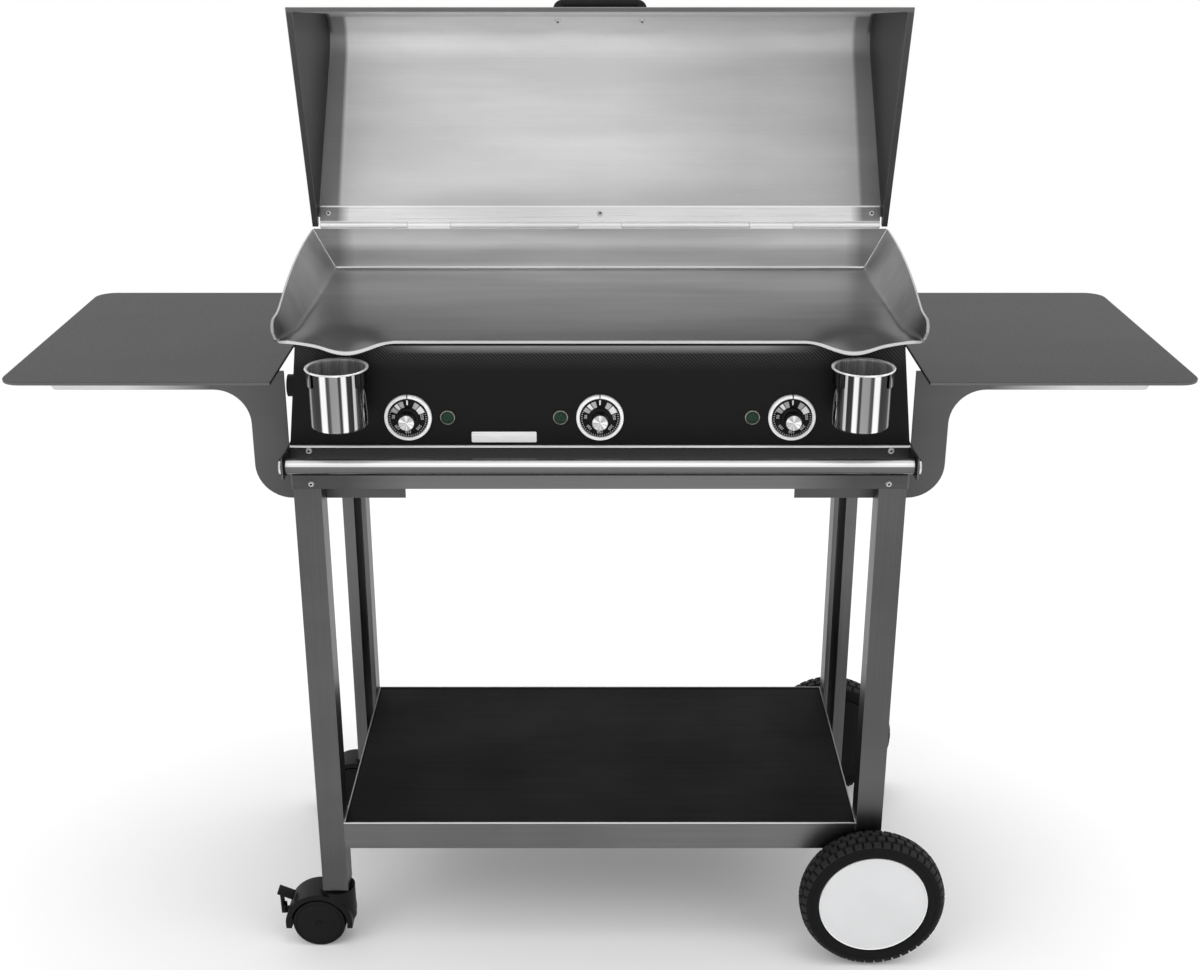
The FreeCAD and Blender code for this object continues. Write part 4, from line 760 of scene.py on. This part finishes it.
hingeAxis = Vector((0, legFront + hinge["back"], hinge["height"]))
leafFace = hingeWay(hinge["leafLean"] - 90)
leafSpot = hingeAxis + hingeWay(hinge["leafLean"]) * hinge["leafScrew"] + leafFace * hinge["leafSheet"]
ridge = hingeAxis + hingeWay(hinge["open"] - 90) * hinge["ridgeAlong"]
ridge += hingeWay(hinge["open"]) * hinge["ridgeUp"]
ridgeSpot = ridge + hingeWay(hinge["handleLean"]) * hinge["ridgeRadius"]

boltSpots = []
for side in (-1, 1):
    for back, way in bolts["legBacks"]:
        boltSpots += [((side * bolts["legAcross"], legFront + back, z), (0, way, 0))
                      for z in bolts["legHeights"]]
    boltSpots += [((side * bolts["shelfAcross"], legFront + back, bolts["shelfHeight"]), (-side, 0, 0))
                  for back in bolts["shelfBacks"]]
    boltSpots += [((side * bolts["sideAcross"], legFront + back, bolts["sideHeight"]), (0, way, 0))
                  for back, way in bolts["sideBacks"]]
coverLow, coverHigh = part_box("panel_screws")
screwIn = bolts["screwRadius"]
coverSpots = [((x, coverHigh.y - bolts["screwHigh"], z), (0, 1, 0))
              for x in (coverLow.x + screwIn, coverHigh.x - screwIn)
              for z in (coverLow.z + screwIn, coverHigh.z - screwIn)]
lidSpots = [((x, leafSpot.y, leafSpot.z), leafFace) for x in (-hinge["leafAcross"], 0, hinge["leafAcross"])]
lidSpots += [((x, ridgeSpot.y, ridgeSpot.z), -hingeWay(hinge["handleLean"]))
             for x in (-hinge["handleAcross"], hinge["handleAcross"])]
for name, spots, kind, body, stands in (
        ("frameBoltHeads", boltSpots, "bolt", "cart", "frame_bolts"),
        ("coverScrewHeads", coverSpots, "screw", "cart", "panel_screws"),
        ("lidScrewHeads", lidSpots, "lid", "lid", "lid_screws")):
    points = bpy.data.meshes.new(name + "Points")
    points.from_pydata([spot for spot, way in spots], [], [])
    ways = points.attributes.new("facing", "FLOAT_VECTOR", "POINT")
    for i, (spot, way) in enumerate(spots):
        ways.data[i].vector = way
    mesh = bakeTree(points, headTree, {"Radius": bolts[kind + "Radius"], "Height": bolts[kind + "High"],
                                       "Metal": looks["zinc"], "SocketShade": looks["socketShade"]}, name)
    addPiece(name, mesh, body, (stands,), 30)
print("bolts and screws ready")

# tyres: smooth carcass with rows of low tread blocks; each row has a place, lean, drop and stagger
tyre = {"radius": 0.1, "rim": 0.0752, "width": 0.044, "blocks": 46, "rowGap": 0.0104, "clear": 0.0002,
        "blockLong": 0.0118, "blockWide": 0.0094, "blockHigh": 0.0046, "blockTop": (1, 0.8, 0.78),
        "rows": ((-1.5, -0.46, 0.0032, 0.0), (-0.5, -0.06, 0.0002, 0.5), (0.5, 0.06, 0.0002, 0.0),
                 (1.5, 0.46, 0.0032, 0.5))}
treadTree, given = newTree("treadRows", {"Blocks": "Int", "Radius": "Float", "Row Gap": "Float",
                                         "Block Size": "Vector", "Centre": "Vector", "Rubber": "Material"})
cube = nodeOut(treadTree, "GeometryNodeMeshCube", {
    "Size": given["Block Size"], "Vertices X": 2, "Vertices Y": 3, "Vertices Z": 3})
where = nodeOut(treadTree, "GeometryNodeInputPosition")
outwards = nodeOut(treadTree, "ShaderNodeSeparateXYZ", {0: where})
isTop = nodeOut(treadTree, "FunctionNodeCompare", {0: outwards, 1: 0.0}, data_type="FLOAT",
                operation="GREATER_THAN")
narrow = nodeOut(treadTree, "ShaderNodeVectorMath", {0: where, 1: tyre["blockTop"]}, operation="MULTIPLY")
block = nodeOut(treadTree, "GeometryNodeSetPosition", {
    "Geometry": cube, "Selection": isTop, "Position": narrow})
count = nodeOut(treadTree, "GeometryNodeInputIndex")
stepAngle = doMath(treadTree, "DIVIDE", 2 * pi, given["Blocks"])
swing = vector(treadTree, z=times(treadTree, count, stepAngle))
upright = nodeOut(treadTree, "FunctionNodeEulerToRotation", {0: swing})
rowParts = []
for row, lean, drop, stagger in tyre["rows"]:
    reach = doMath(treadTree, "SUBTRACT", given["Radius"], drop)
    points = nodeOut(treadTree, "GeometryNodeMeshCircle", {"Vertices": given["Blocks"], "Radius": reach})
    leaned = nodeOut(treadTree, "FunctionNodeRotateRotation", {0: upright, 1: (0, -lean, 0)},
                     rotation_space="LOCAL")
    rowBlocks = nodeOut(treadTree, "GeometryNodeInstanceOnPoints", {
        "Points": points, "Instance": block, "Rotation": leaned})
    rowParts.append(nodeOut(treadTree, "GeometryNodeTransform", {
        "Geometry": rowBlocks, "Translation": vector(treadTree, z=times(treadTree, given["Row Gap"], row)),
        "Rotation": vector(treadTree, z=times(treadTree, stepAngle, stagger))}))
standing = nodeOut(treadTree, "GeometryNodeTransform", {
    "Geometry": joinAll(treadTree, rowParts), "Rotation": (pi / 2, 0, 0), "Translation": given["Centre"]})
rubbered = settle(treadTree, standing, given["Rubber"])
closeTree(treadTree, joinAll(treadTree, [given["Geometry"], rubbered]))

half = tyre["width"] / 2
# one half of the outline: radius and inset from the side
carcass = [(tyre["rim"], 0.004), (tyre["rim"] + 0.0015, 0.0012), (0.079, 0.0004), (0.0845, 0.0002),
           (0.0855, 0.0008), (0.0862, 0.0003), (0.0895, 0.0012), (0.092, 0.003), (0.0942, 0.0062),
           (0.0956, 0.0105), (0.0964, 0.016), (0.0966, half)]
carcass = [(radius, inset - half) for radius, inset in carcass]
carcass += [(radius, -along) for radius, along in reversed(carcass[:-1])]
carcass.append(carcass[0])
for side in ("front", "rear"):
    centre = centreOf(side + "_tyre")
    base = turnShape(side + "Carcass", carcass, centre, (0, 1, 0), "rubber", 96)
    mesh = bakeTree(base, treadTree, {
        "Blocks": tyre["blocks"], "Radius": tyre["radius"] - tyre["blockHigh"] / 2 - tyre["clear"],
        "Row Gap": tyre["rowGap"], "Block Size": (tyre["blockHigh"], tyre["blockLong"], tyre["blockWide"]),
        "Centre": centre, "Rubber": looks["treadRubber"]}, side + "TreadTyre")
    addPiece(side + "TreadTyre", mesh, side + "_wheel", (side + "_tyre",))
print("tyres ready")

# hub caps: shallow dome in a thin bright rim
hubCap = {"radius": 0.0746, "rim": 0.0018, "crown": 0.0016}
inner, outer = hubCap["radius"] - hubCap["rim"], hubCap["radius"]
domeParts = (0, 0.2, 0.4, 0.6, 0.8, 0.93, 1)
dome = [(inner * part, 0.0002 + hubCap["crown"] * (1 - part ** 2)) for part in domeParts]
lip = [(inner, -0.0005), (inner, 0.0008), (inner + 0.0004, 0.0014), (inner + 0.001, 0.0015),
       (outer - 0.0003, 0.0011), (outer, 0.0004), (outer, -0.0015), (0, -0.0015)]
for side, facing in (("front", -1), ("rear", 1)):
    centre = centreOf(side + "_hub_cap")
    shapes = [turnShape("cap", profile, centre, (0, facing, 0), look, 96)
              for profile, look in ((dome, "hubWhite"), (lip, "hubRim"))]
    mesh = joinMeshes(side + "HubCap", shapes)
    addPiece(side + "DomedHubCap", mesh, side + "_wheel", (side + "_hub_cap",))
print("hub caps ready")

# caster wheels: round tread, ringed face, bore on the axle
casterWheel = {"radius": 0.0375, "half": 0.00975, "bore": 0.00412}
face, bore = casterWheel["half"], casterWheel["bore"]
wheelProfile = [
    (bore, -face + 0.0004), (0.03, -face + 0.0004), (0.0352, -face + 0.0012), (0.0371, -face + 0.0042),
    (casterWheel["radius"], -0.003), (casterWheel["radius"], 0.003), (0.0372, face - 0.0036),
    (0.0362, face - 0.0013), (0.0344, face - 0.0004), (0.0332, face - 0.0003), (0.0327, face - 0.001),
    (0.032, face - 0.001), (0.0314, face - 0.0003), (0.02, face - 0.0001), (bore + 0.001, face),
    (bore, face - 0.0006), (bore, -face + 0.0004)]
for end in ("front", "rear"):
    for side, facing in (("near", -1), ("far", 1)):
        name = f"caster_{end}_wheel_{side}"
        mesh = turnShape(name, wheelProfile, centreOf(name), (0, facing, 0), "tread", 72)
        addPiece(end + side.title() + "CasterWheel", mesh, name, (name,), 28)
print("caster wheels ready")

# grease cups with a rolled rim
cup = {"radius": 0.035, "rim": 0.0385, "bead": 0.0012, "wall": 0.0008, "corner": 0.004, "roll": 225,
       "dish": 0.0006, "floor": 0.0016}
outer, corner, bead = cup["radius"], cup["corner"], cup["bead"]
inner = outer - cup["wall"]
for side in ("left", "right"):
    low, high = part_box("cup_" + side)
    centre = Vector(((low.x + high.x) / 2, (low.y + high.y) / 2, low.z))
    beadHigh = high.z - low.z - bead
    outside = [(0, cup["dish"]), (outer * 0.6, cup["dish"]), (outer - corner - 0.002, 0.0)]
    outside += [(outer - corner + corner * sin(t), corner - corner * cos(t)) for t in quarter[1:]]
    outside.append((outer, beadHigh - bead))
    rolled = [outside[-1]]
    for step in range(9):
        swing = radians(cup["roll"] * step / 8 - 90)
        rolled.append((cup["rim"] - bead + bead * cos(swing), beadHigh + bead * sin(swing)))
    rolled.append((inner + 0.0006, beadHigh - 0.0002))
    inside = [rolled[-1], (inner, beadHigh - 0.003), (inner, corner), (outer - corner, cup["floor"]),
              (0, cup["floor"])]
    # the rim is painted bright as a highlight and the inside darker as painted shade
    walls = [turnShape("wall", profile, centre, (0, 0, 1), look, 72)
             for profile, look in ((outside, "bands"), (rolled, "cupRim"), (inside, "cupInside"))]
    walls[-1].flip_normals()
    mesh = joinMeshes(side + "GreaseCup", walls)
    addPiece(side + "GreaseCup", mesh, "cup_" + side, ("cup_" + side,), 40)
print("cups ready")

# dials: bezel ring, scale print and knob; angles in degrees from the top
dial = {"bezelOuter": 0.0294, "bezelInner": 0.025, "bezelThick": 0.005, "notch": 0.0012,
        "ticks": 33, "tickFrom": -62, "tickSweep": 236, "tickInner": 0.0218, "tickOuter": 0.0234,
        "tickWide": 0.0006, "numbers": ("50", "100", "150", "200", "250"), "numberFrom": -84,
        "numberStep": 48, "numberRadius": 0.0176, "numberSize": 0.0052, "inkHalf": 0.00006,
        "sectors": ((-30, -14, "printGrey"), (-46, -33, "print"), (-66, -50, "printGrey"),
                    (24, 42, "printGrey"), (45, 70, "print")),
        "sectorInner": 0.0146, "sectorOuter": 0.0226, "pointerInner": 0.0172, "pointerOuter": 0.0234,
        "pointer": 2.6, "skirt": 0.0138, "knob": 0.0105, "cap": 0.0097, "knurl": 0.0006}
tickTree, given = newTree("scaleTicks", {"Ticks": "Int", "Start": "Float", "Sweep": "Float",
                                         "Radius": "Float", "Tick Size": "Vector", "Print": "Material"})
line = nodeOut(tickTree, "GeometryNodeMeshLine", {"Count": given["Ticks"], "Offset": (0, 0, 0)})
count = nodeOut(tickTree, "GeometryNodeInputIndex")
share = doMath(tickTree, "DIVIDE", count, doMath(tickTree, "SUBTRACT", given["Ticks"], 1.0))
swing = doMath(tickTree, "ADD", given["Start"], times(tickTree, share, given["Sweep"]))
spot = vector(tickTree, *onCircle(tickTree, swing, given["Radius"]))
spots = nodeOut(tickTree, "GeometryNodeSetPosition", {"Geometry": line, "Position": spot})
tick = nodeOut(tickTree, "GeometryNodeMeshCube", {"Size": given["Tick Size"]})
upright = nodeOut(tickTree, "FunctionNodeEulerToRotation", {0: vector(tickTree, z=swing)})
placed = nodeOut(tickTree, "GeometryNodeInstanceOnPoints", {
    "Points": spots, "Instance": tick, "Rotation": upright})
closeTree(tickTree, settle(tickTree, placed, given["Print"]))


def flatWord(text, size, material):
    curve = bpy.data.curves.new("word", "FONT")
    curve.body = text
    curve.size = size
    curve.align_x = "CENTER"
    curve.align_y = "CENTER"
    curve.extrude = dial["inkHalf"]
    curve.resolution_u = 2
    mesh = plainMesh(addObject("word", curve), "word")
    mesh.materials.append(material)
    return mesh


def wedge(inner, outer, start, end, material):
    # flat printed sector of the scale
    bm = bmesh.new()
    steps = 6
    angles = [start + (end - start) * i / steps for i in range(steps + 1)]
    arcs = [[bm.verts.new((radius * cos(a), radius * sin(a), height)) for a in angles]
            for radius in (inner, outer) for height in (-dial["inkHalf"], dial["inkHalf"])]
    for i in range(steps):
        for one, two in ((0, 1), (1, 3), (3, 2), (2, 0)):
            bm.faces.new((arcs[one][i], arcs[one][i + 1], arcs[two][i + 1], arcs[two][i]))
    for i in (0, steps):
        bm.faces.new((arcs[0][i], arcs[1][i], arcs[3][i], arcs[2][i]))
    bmesh.ops.recalc_face_normals(bm, faces=bm.faces)
    return meshFrom(bm, "wedge", material)


def fromTop(angle):
    return pi / 2 - radians(angle)


tickLong = dial["tickOuter"] - dial["tickInner"]
for side in ("left", "centre", "right"):
    low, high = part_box("dial_" + side)
    centre = Vector(((low.x + high.x) / 2, low.y, (low.z + high.z) / 2))
    prints = [bakeTree(bpy.data.meshes.new("scale"), tickTree, {
        "Ticks": dial["ticks"], "Start": fromTop(dial["tickFrom"]), "Sweep": radians(dial["tickSweep"]),
        "Radius": (dial["tickInner"] + dial["tickOuter"]) / 2,
        "Tick Size": (tickLong, dial["tickWide"], 2 * dial["inkHalf"]), "Print": looks["print"]}, "ticks")]
    for i, text in enumerate(dial["numbers"]):
        swing = fromTop(dial["numberFrom"] - dial["numberStep"] * i)
        word = flatWord(text, dial["numberSize"], looks["print"])
        spot = Vector((cos(swing), sin(swing), 0)) * dial["numberRadius"]
        word.transform(Matrix.Translation(spot) @ Matrix.Rotation(swing - pi / 2, 4, "Z"))
        prints.append(word)
    for start, end, look in dial["sectors"]:
        prints.append(wedge(dial["sectorInner"], dial["sectorOuter"], fromTop(start), fromTop(end),
                            looks[look]))
    prints.append(wedge(dial["pointerInner"], dial["pointerOuter"], fromTop(-dial["pointer"]),
                        fromTop(dial["pointer"]), looks["print"]))
    onFace = Matrix.Translation(centre - Vector((0, dial["inkHalf"], 0)))
    for mesh in prints:
        mesh.transform(onFace @ Matrix.Rotation(pi / 2, 4, "X"))
    addPiece(side + "DialScale", joinMeshes(side + "Scale", prints), "dial_" + side)
    stand = centre.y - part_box("knob_" + side)[0].y
    grip, cap, skirt = dial["knob"], dial["cap"], dial["skirt"]
    bodyProfile = [(cap - 0.0006, stand - 0.0012), (grip - 0.0006, stand - 0.001), (grip, stand - 0.0022),
                   (grip, 0.0046), (grip - 0.0008, 0.0036)]
    capProfile = [(0, stand - 0.0009), (cap * 0.3, stand - 0.0007), (cap - 0.0012, stand - 0.0001),
                  (cap - 0.0004, stand), (cap, stand - 0.0005), (cap, stand - 0.0016)]
    skirtProfile = [(grip - 0.0012, 0.0046), (skirt - 0.001, 0.0038), (skirt, 0.0028),
                    (skirt + 0.0003, 0.0)]
    shapes = [turnShape("knobPart", profile, centre, (0, -1, 0), look, segments, knurl)
              for profile, look, segments, knurl in (
                  (bodyProfile, "dial", 80, {"rows": (2, 3), "depth": dial["knurl"]}),
                  (capProfile, "knob", 80, None), (skirtProfile, "plastic", 64, None))]
    mesh = joinMeshes(side + "Knob", shapes)
    addPiece(side + "Knob", mesh, "dial_" + side, ("knob_" + side,))

rings = []
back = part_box("dial_bezels")[1].y
outer, inner, thick = dial["bezelOuter"], dial["bezelInner"], dial["bezelThick"]
ringProfile = [
    (inner, 0), (inner, thick - 0.001), (inner + 0.0008, thick - 0.0001), (outer - 0.0016, thick),
    (outer - 0.0004, thick - 0.0006), (outer, thick - 0.002), (outer, 0), (inner, 0)]
for side in ("left", "centre", "right"):
    middle = centreOf("dial_" + side)
    centre = Vector((middle.x, back, middle.z))
    rings.append(turnShape("bezel", ringProfile, centre, (0, -1, 0), "white", 96))
    bm = bmesh.new()
    bmesh.ops.create_cube(bm, size=1)
    bm.transform(Matrix.Translation(centre + Vector((0, -thick / 2 - 0.00005, (outer + inner) / 2)))
                 @ Matrix.Diagonal((dial["notch"], thick, outer - inner + 0.0004, 1)))
    rings.append(meshFrom(bm, "notch", looks["dial"]))
addPiece("dialRings", joinMeshes("dialRings", rings), "cart", ("dial_bezels",))
print("dials ready")

# pilot lights
lamp = {"outer": 0.0093, "inner": 0.0079, "thick": 0.0025, "dome": 0.0038, "domeDrop": 0.002,
        "spots": (-0.189, -0.049, 0.189)}
outer, inner, thick = lamp["outer"], lamp["inner"], lamp["thick"]
rimProfile = [
    (inner, 0), (inner, thick - 0.0006), (inner + 0.0004, thick), (outer - 0.0005, thick - 0.0002),
    (outer, thick - 0.001), (outer, 0), (inner, 0)]
edge = inner - 0.0001
dome = [(edge * sin(t), lamp["dome"] - lamp["domeDrop"] * (1 - cos(t))) for t in quarter[1:]]
glass = [(0, lamp["dome"])] + dome + [(edge, 0)]
lenses, rims = [], []
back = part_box("pilot_bezels")[1].y
for across in lamp["spots"]:
    centre = Vector((across, back, centreOf("pilot_lenses").z))
    rims.append(turnShape("rim", rimProfile, centre, (0, -1, 0), "lampRim", 48))
    lenses.append(turnShape("lens", glass, centre, (0, -1, 0), "lamp", 40))
addPiece("pilotRims", joinMeshes("pilotRims", rims), "cart", ("pilot_bezels",))
addPiece("pilotDomes", joinMeshes("pilotDomes", lenses), "cart", ("pilot_lenses",))
print("pilot lights ready")

# sheets with rounded corners: the side tables and the bare plate on the panel
sheets = {"tableCorner": 0.026, "tableEdge": 0.0008, "plateCorner": 0.0018, "plateEdge": 0.0003,
          "sharp": 18}


def cornerArc(across, along, radius, start):
    # quarter circle inside a corner, from the start angle on
    steps = [radians(start + 15 * i) for i in range(7)]
    turnIn = radians(start + 45)
    mid = (across - copysign(radius, cos(turnIn)), along - copysign(radius, sin(turnIn)))
    return [(mid[0] + radius * cos(a), mid[1] + radius * sin(a)) for a in steps]


def roundedSheet(name, outline, push, material, edge):
    bm = bmesh.new()
    face = bm.faces.new([bm.verts.new(point) for point in outline])
    pushed = bmesh.ops.extrude_face_region(bm, geom=[face])
    moved = [part for part in pushed["geom"] if isinstance(part, bmesh.types.BMVert)]
    bmesh.ops.translate(bm, vec=push, verts=moved)
    bmesh.ops.recalc_face_normals(bm, faces=bm.faces)
    mesh = meshFrom(bm, name, material)
    return bakeModifier(mesh, name, "BEVEL", width=edge, segments=2, limit_method="ANGLE")


corner = sheets["tableCorner"]
for side in ("left", "right"):
    low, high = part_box("side_shelf_" + side)
    if side == "left":
        outline = [(high.x, low.y), (high.x, high.y)]
        outline += cornerArc(low.x, high.y, corner, 90) + cornerArc(low.x, low.y, corner, 180)
    else:
        outline = [(low.x, high.y), (low.x, low.y)]
        outline += cornerArc(high.x, low.y, corner, 270) + cornerArc(high.x, high.y, corner, 0)
    mesh = roundedSheet(side + "Table", [(x, y, low.z) for x, y in outline], (0, 0, high.z - low.z),
                        looks["table"], sheets["tableEdge"])
    addPiece(side + "Table", mesh, "cart", ("side_shelf_" + side,), sheets["sharp"])
low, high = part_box("name_plate")
outline = []
corners = ((high.x, high.z, 0), (low.x, high.z, 90), (low.x, low.z, 180), (high.x, low.z, 270))
for across, along, start in corners:
    outline += cornerArc(across, along, sheets["plateCorner"], start)
mesh = roundedSheet("barePlate", [(x, high.y, z) for x, z in outline], (0, low.y - high.y, 0),
                    looks["silver"], sheets["plateEdge"])
addPiece("barePlate", mesh, "cart", ("name_plate",), sheets["sharp"])
print("tables and bare plate ready")

# lid handle: a bow bent round two corners
handle = {"half": 0.065, "foot": 0.0461, "top": 0.0762, "wide": 0.02, "thick": 0.012, "corner": 0.0085,
          "edge": 0.004}
bowTree, given = newTree("bentBow", {"Corner": "Float", "Wide": "Float", "Thick": "Float", "Edge": "Float",
                                     "Plastic": "Material"})
path = nodeOut(bowTree, "GeometryNodeMeshToCurve", {"Mesh": given["Geometry"]})
path = nodeOut(bowTree, "GeometryNodeFilletCurve", {
    "Curve": path, "Count": 8, "Radius": given["Corner"]}, mode="POLY")
path = nodeOut(bowTree, "GeometryNodeSetCurveNormal", {"Curve": path}, mode="Z_UP")
section = nodeOut(bowTree, "GeometryNodeCurvePrimitiveQuadrilateral",
                  {"Width": given["Thick"], "Height": given["Wide"]})
section = nodeOut(bowTree, "GeometryNodeFilletCurve", {
    "Curve": section, "Count": 4, "Radius": given["Edge"]}, mode="POLY")
swept = nodeOut(bowTree, "GeometryNodeCurveToMesh", {
    "Curve": path, "Profile Curve": section, "Fill Caps": True})
closeTree(bowTree, settle(bowTree, swept, given["Plastic"]))
side = handle["half"] - handle["thick"] / 2
level = handle["top"] - handle["thick"] / 2
bow = bpy.data.meshes.new("bowPath")
bends = [(-side, handle["foot"], 0), (-side, level, 0), (side, level, 0), (side, handle["foot"], 0)]
bow.from_pydata(bends, [(0, 1), (1, 2), (2, 3)], [])
bow = bakeTree(bow, bowTree, {"Corner": handle["corner"], "Wide": handle["wide"], "Thick": handle["thick"],
                              "Edge": handle["edge"], "Plastic": looks["plastic"]}, "bowHandle")
upright = hingeWay(hinge["handleLean"])
standing = Matrix(((1, 0, 0), upright, Vector((1, 0, 0)).cross(upright))).transposed().to_4x4()
bow.transform(Matrix.Translation(ridge) @ standing)
addPiece("bowHandle", bow, "lid", ("lid_handle",), 40)

# brake levers: rounded copies with the pedal tipped towards the wheel
lever = {"tip": 24, "tipIn": 0.0055, "tipDown": 0.002, "pedal": 0.0045, "edge": 0.0013}
for end in ("front", "rear"):
    node = f"caster_{end}_brake"
    low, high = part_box(node)
    bm = bmesh.new()
    bm.from_mesh(nodes[node].data)
    bmesh.ops.remove_doubles(bm, verts=bm.verts, dist=1e-6)
    bmesh.ops.dissolve_limit(bm, angle_limit=radians(4), verts=bm.verts, edges=bm.edges)
    pedal = [vert for vert in bm.verts if vert.co.z > high.z - lever["pedal"]]
    bmesh.ops.rotate(bm, verts=pedal, cent=(low.x + lever["tipIn"], 0, high.z - lever["tipDown"]),
                     matrix=Matrix.Rotation(radians(lever["tip"]), 3, "Y"))
    mesh = bakeModifier(meshFrom(bm, node, looks["plastic"]), node, "BEVEL", width=lever["edge"],
                        segments=3, limit_method="ANGLE", angle_limit=radians(50))
    addPiece(end + "BrakeLever", mesh, node, (node,), 40)
print("handle and brake levers ready")

# floor, world and lamps
stage = {"floor": 0.93, "floorSize": 40, "glow": 0.06, "openFrom": 0.9, "openTo": 2.4, "world": 0.9}
lamps = {
    "keyLight": {"power": 24, "size": (2.2, 2.2), "spread": 180, "place": (-2.2, -2.4, 2.9),
                 "aim": (0, 0, 0.7)},
    "fillLight": {"power": 14, "size": (2.2, 2.2), "spread": 180, "place": (2.6, -1.8, 2.0),
                  "aim": (0, 0, 0.7)},
    "topLight": {"power": 45, "size": (2.4, 2.4), "spread": 180, "place": (0.2, 0.2, 3.4),
                 "aim": (0, 0, 0.6)},
    "lidStrip": {"power": 0.6, "size": (1.6, 0.2), "spread": 14, "place": (0, -2.4, 0.35),
                 "aim": (0, 0.2, 1.16)},
}


def seenRay(tree):
    # 1 for camera, glossy and transmission rays
    rays = addNode(tree, "ShaderNodeLightPath").outputs
    both = doMath(tree, "MAXIMUM", rays["Is Camera Ray"], rays["Is Glossy Ray"])
    return doMath(tree, "MAXIMUM", both, rays["Is Transmission Ray"])


def emptyTree(owner):
    owner.use_nodes = True
    owner.node_tree.nodes.clear()
    return owner.node_tree


floorLook = bpy.data.materials.new("floorPale")
tree = emptyTree(floorLook)
matt = nodeOut(tree, "ShaderNodeBsdfDiffuse", {"Color": grey(stage["floor"])})
glow = nodeOut(tree, "ShaderNodeEmission", {"Color": grey(1.0)})
# the open floor away from the cart fades to the white backdrop
away = addNode(tree, "ShaderNodeVectorMath", {0: objectPlace(tree)}, operation="LENGTH").outputs["Value"]
fade = remap(tree, away, stage["openFrom"], stage["openTo"], stage["glow"], 1)
mixed = nodeOut(tree, "ShaderNodeMixShader", {0: times(tree, seenRay(tree), fade), 1: matt, 2: glow})
addNode(tree, "ShaderNodeOutputMaterial", {0: mixed})
bm = bmesh.new()
bmesh.ops.create_grid(bm, x_segments=1, y_segments=1, size=stage["floorSize"])
floor = addObject("floor", meshFrom(bm, "floor", floorLook))

world = bpy.data.worlds.new("studio")
tree = emptyTree(world)
dim = nodeOut(tree, "ShaderNodeBackground", {0: grey(stage["world"])})
bright = nodeOut(tree, "ShaderNodeBackground", {0: grey(1.0)})
mixed = nodeOut(tree, "ShaderNodeMixShader", {0: seenRay(tree), 1: dim, 2: bright})
addNode(tree, "ShaderNodeOutputWorld", {0: mixed})
bpy.context.scene.world = world

for name, values in lamps.items():
    light = bpy.data.lights.new(name, "AREA")
    light.energy = values["power"]
    light.shape = "RECTANGLE"
    light.size, light.size_y = values["size"]
    light.spread = radians(values["spread"])
    lightObject = addObject(name, light)
    lightObject.location = values["place"]
    aim = Vector(values["aim"]) - Vector(values["place"])
    lightObject.rotation_euler = aim.to_track_quat("-Z", "Y").to_euler()
    lightObject.visible_glossy = False  # no hot spots in the brushed sheet
bpy.context.scene.view_settings.view_transform = "Standard"
print("stage ready")
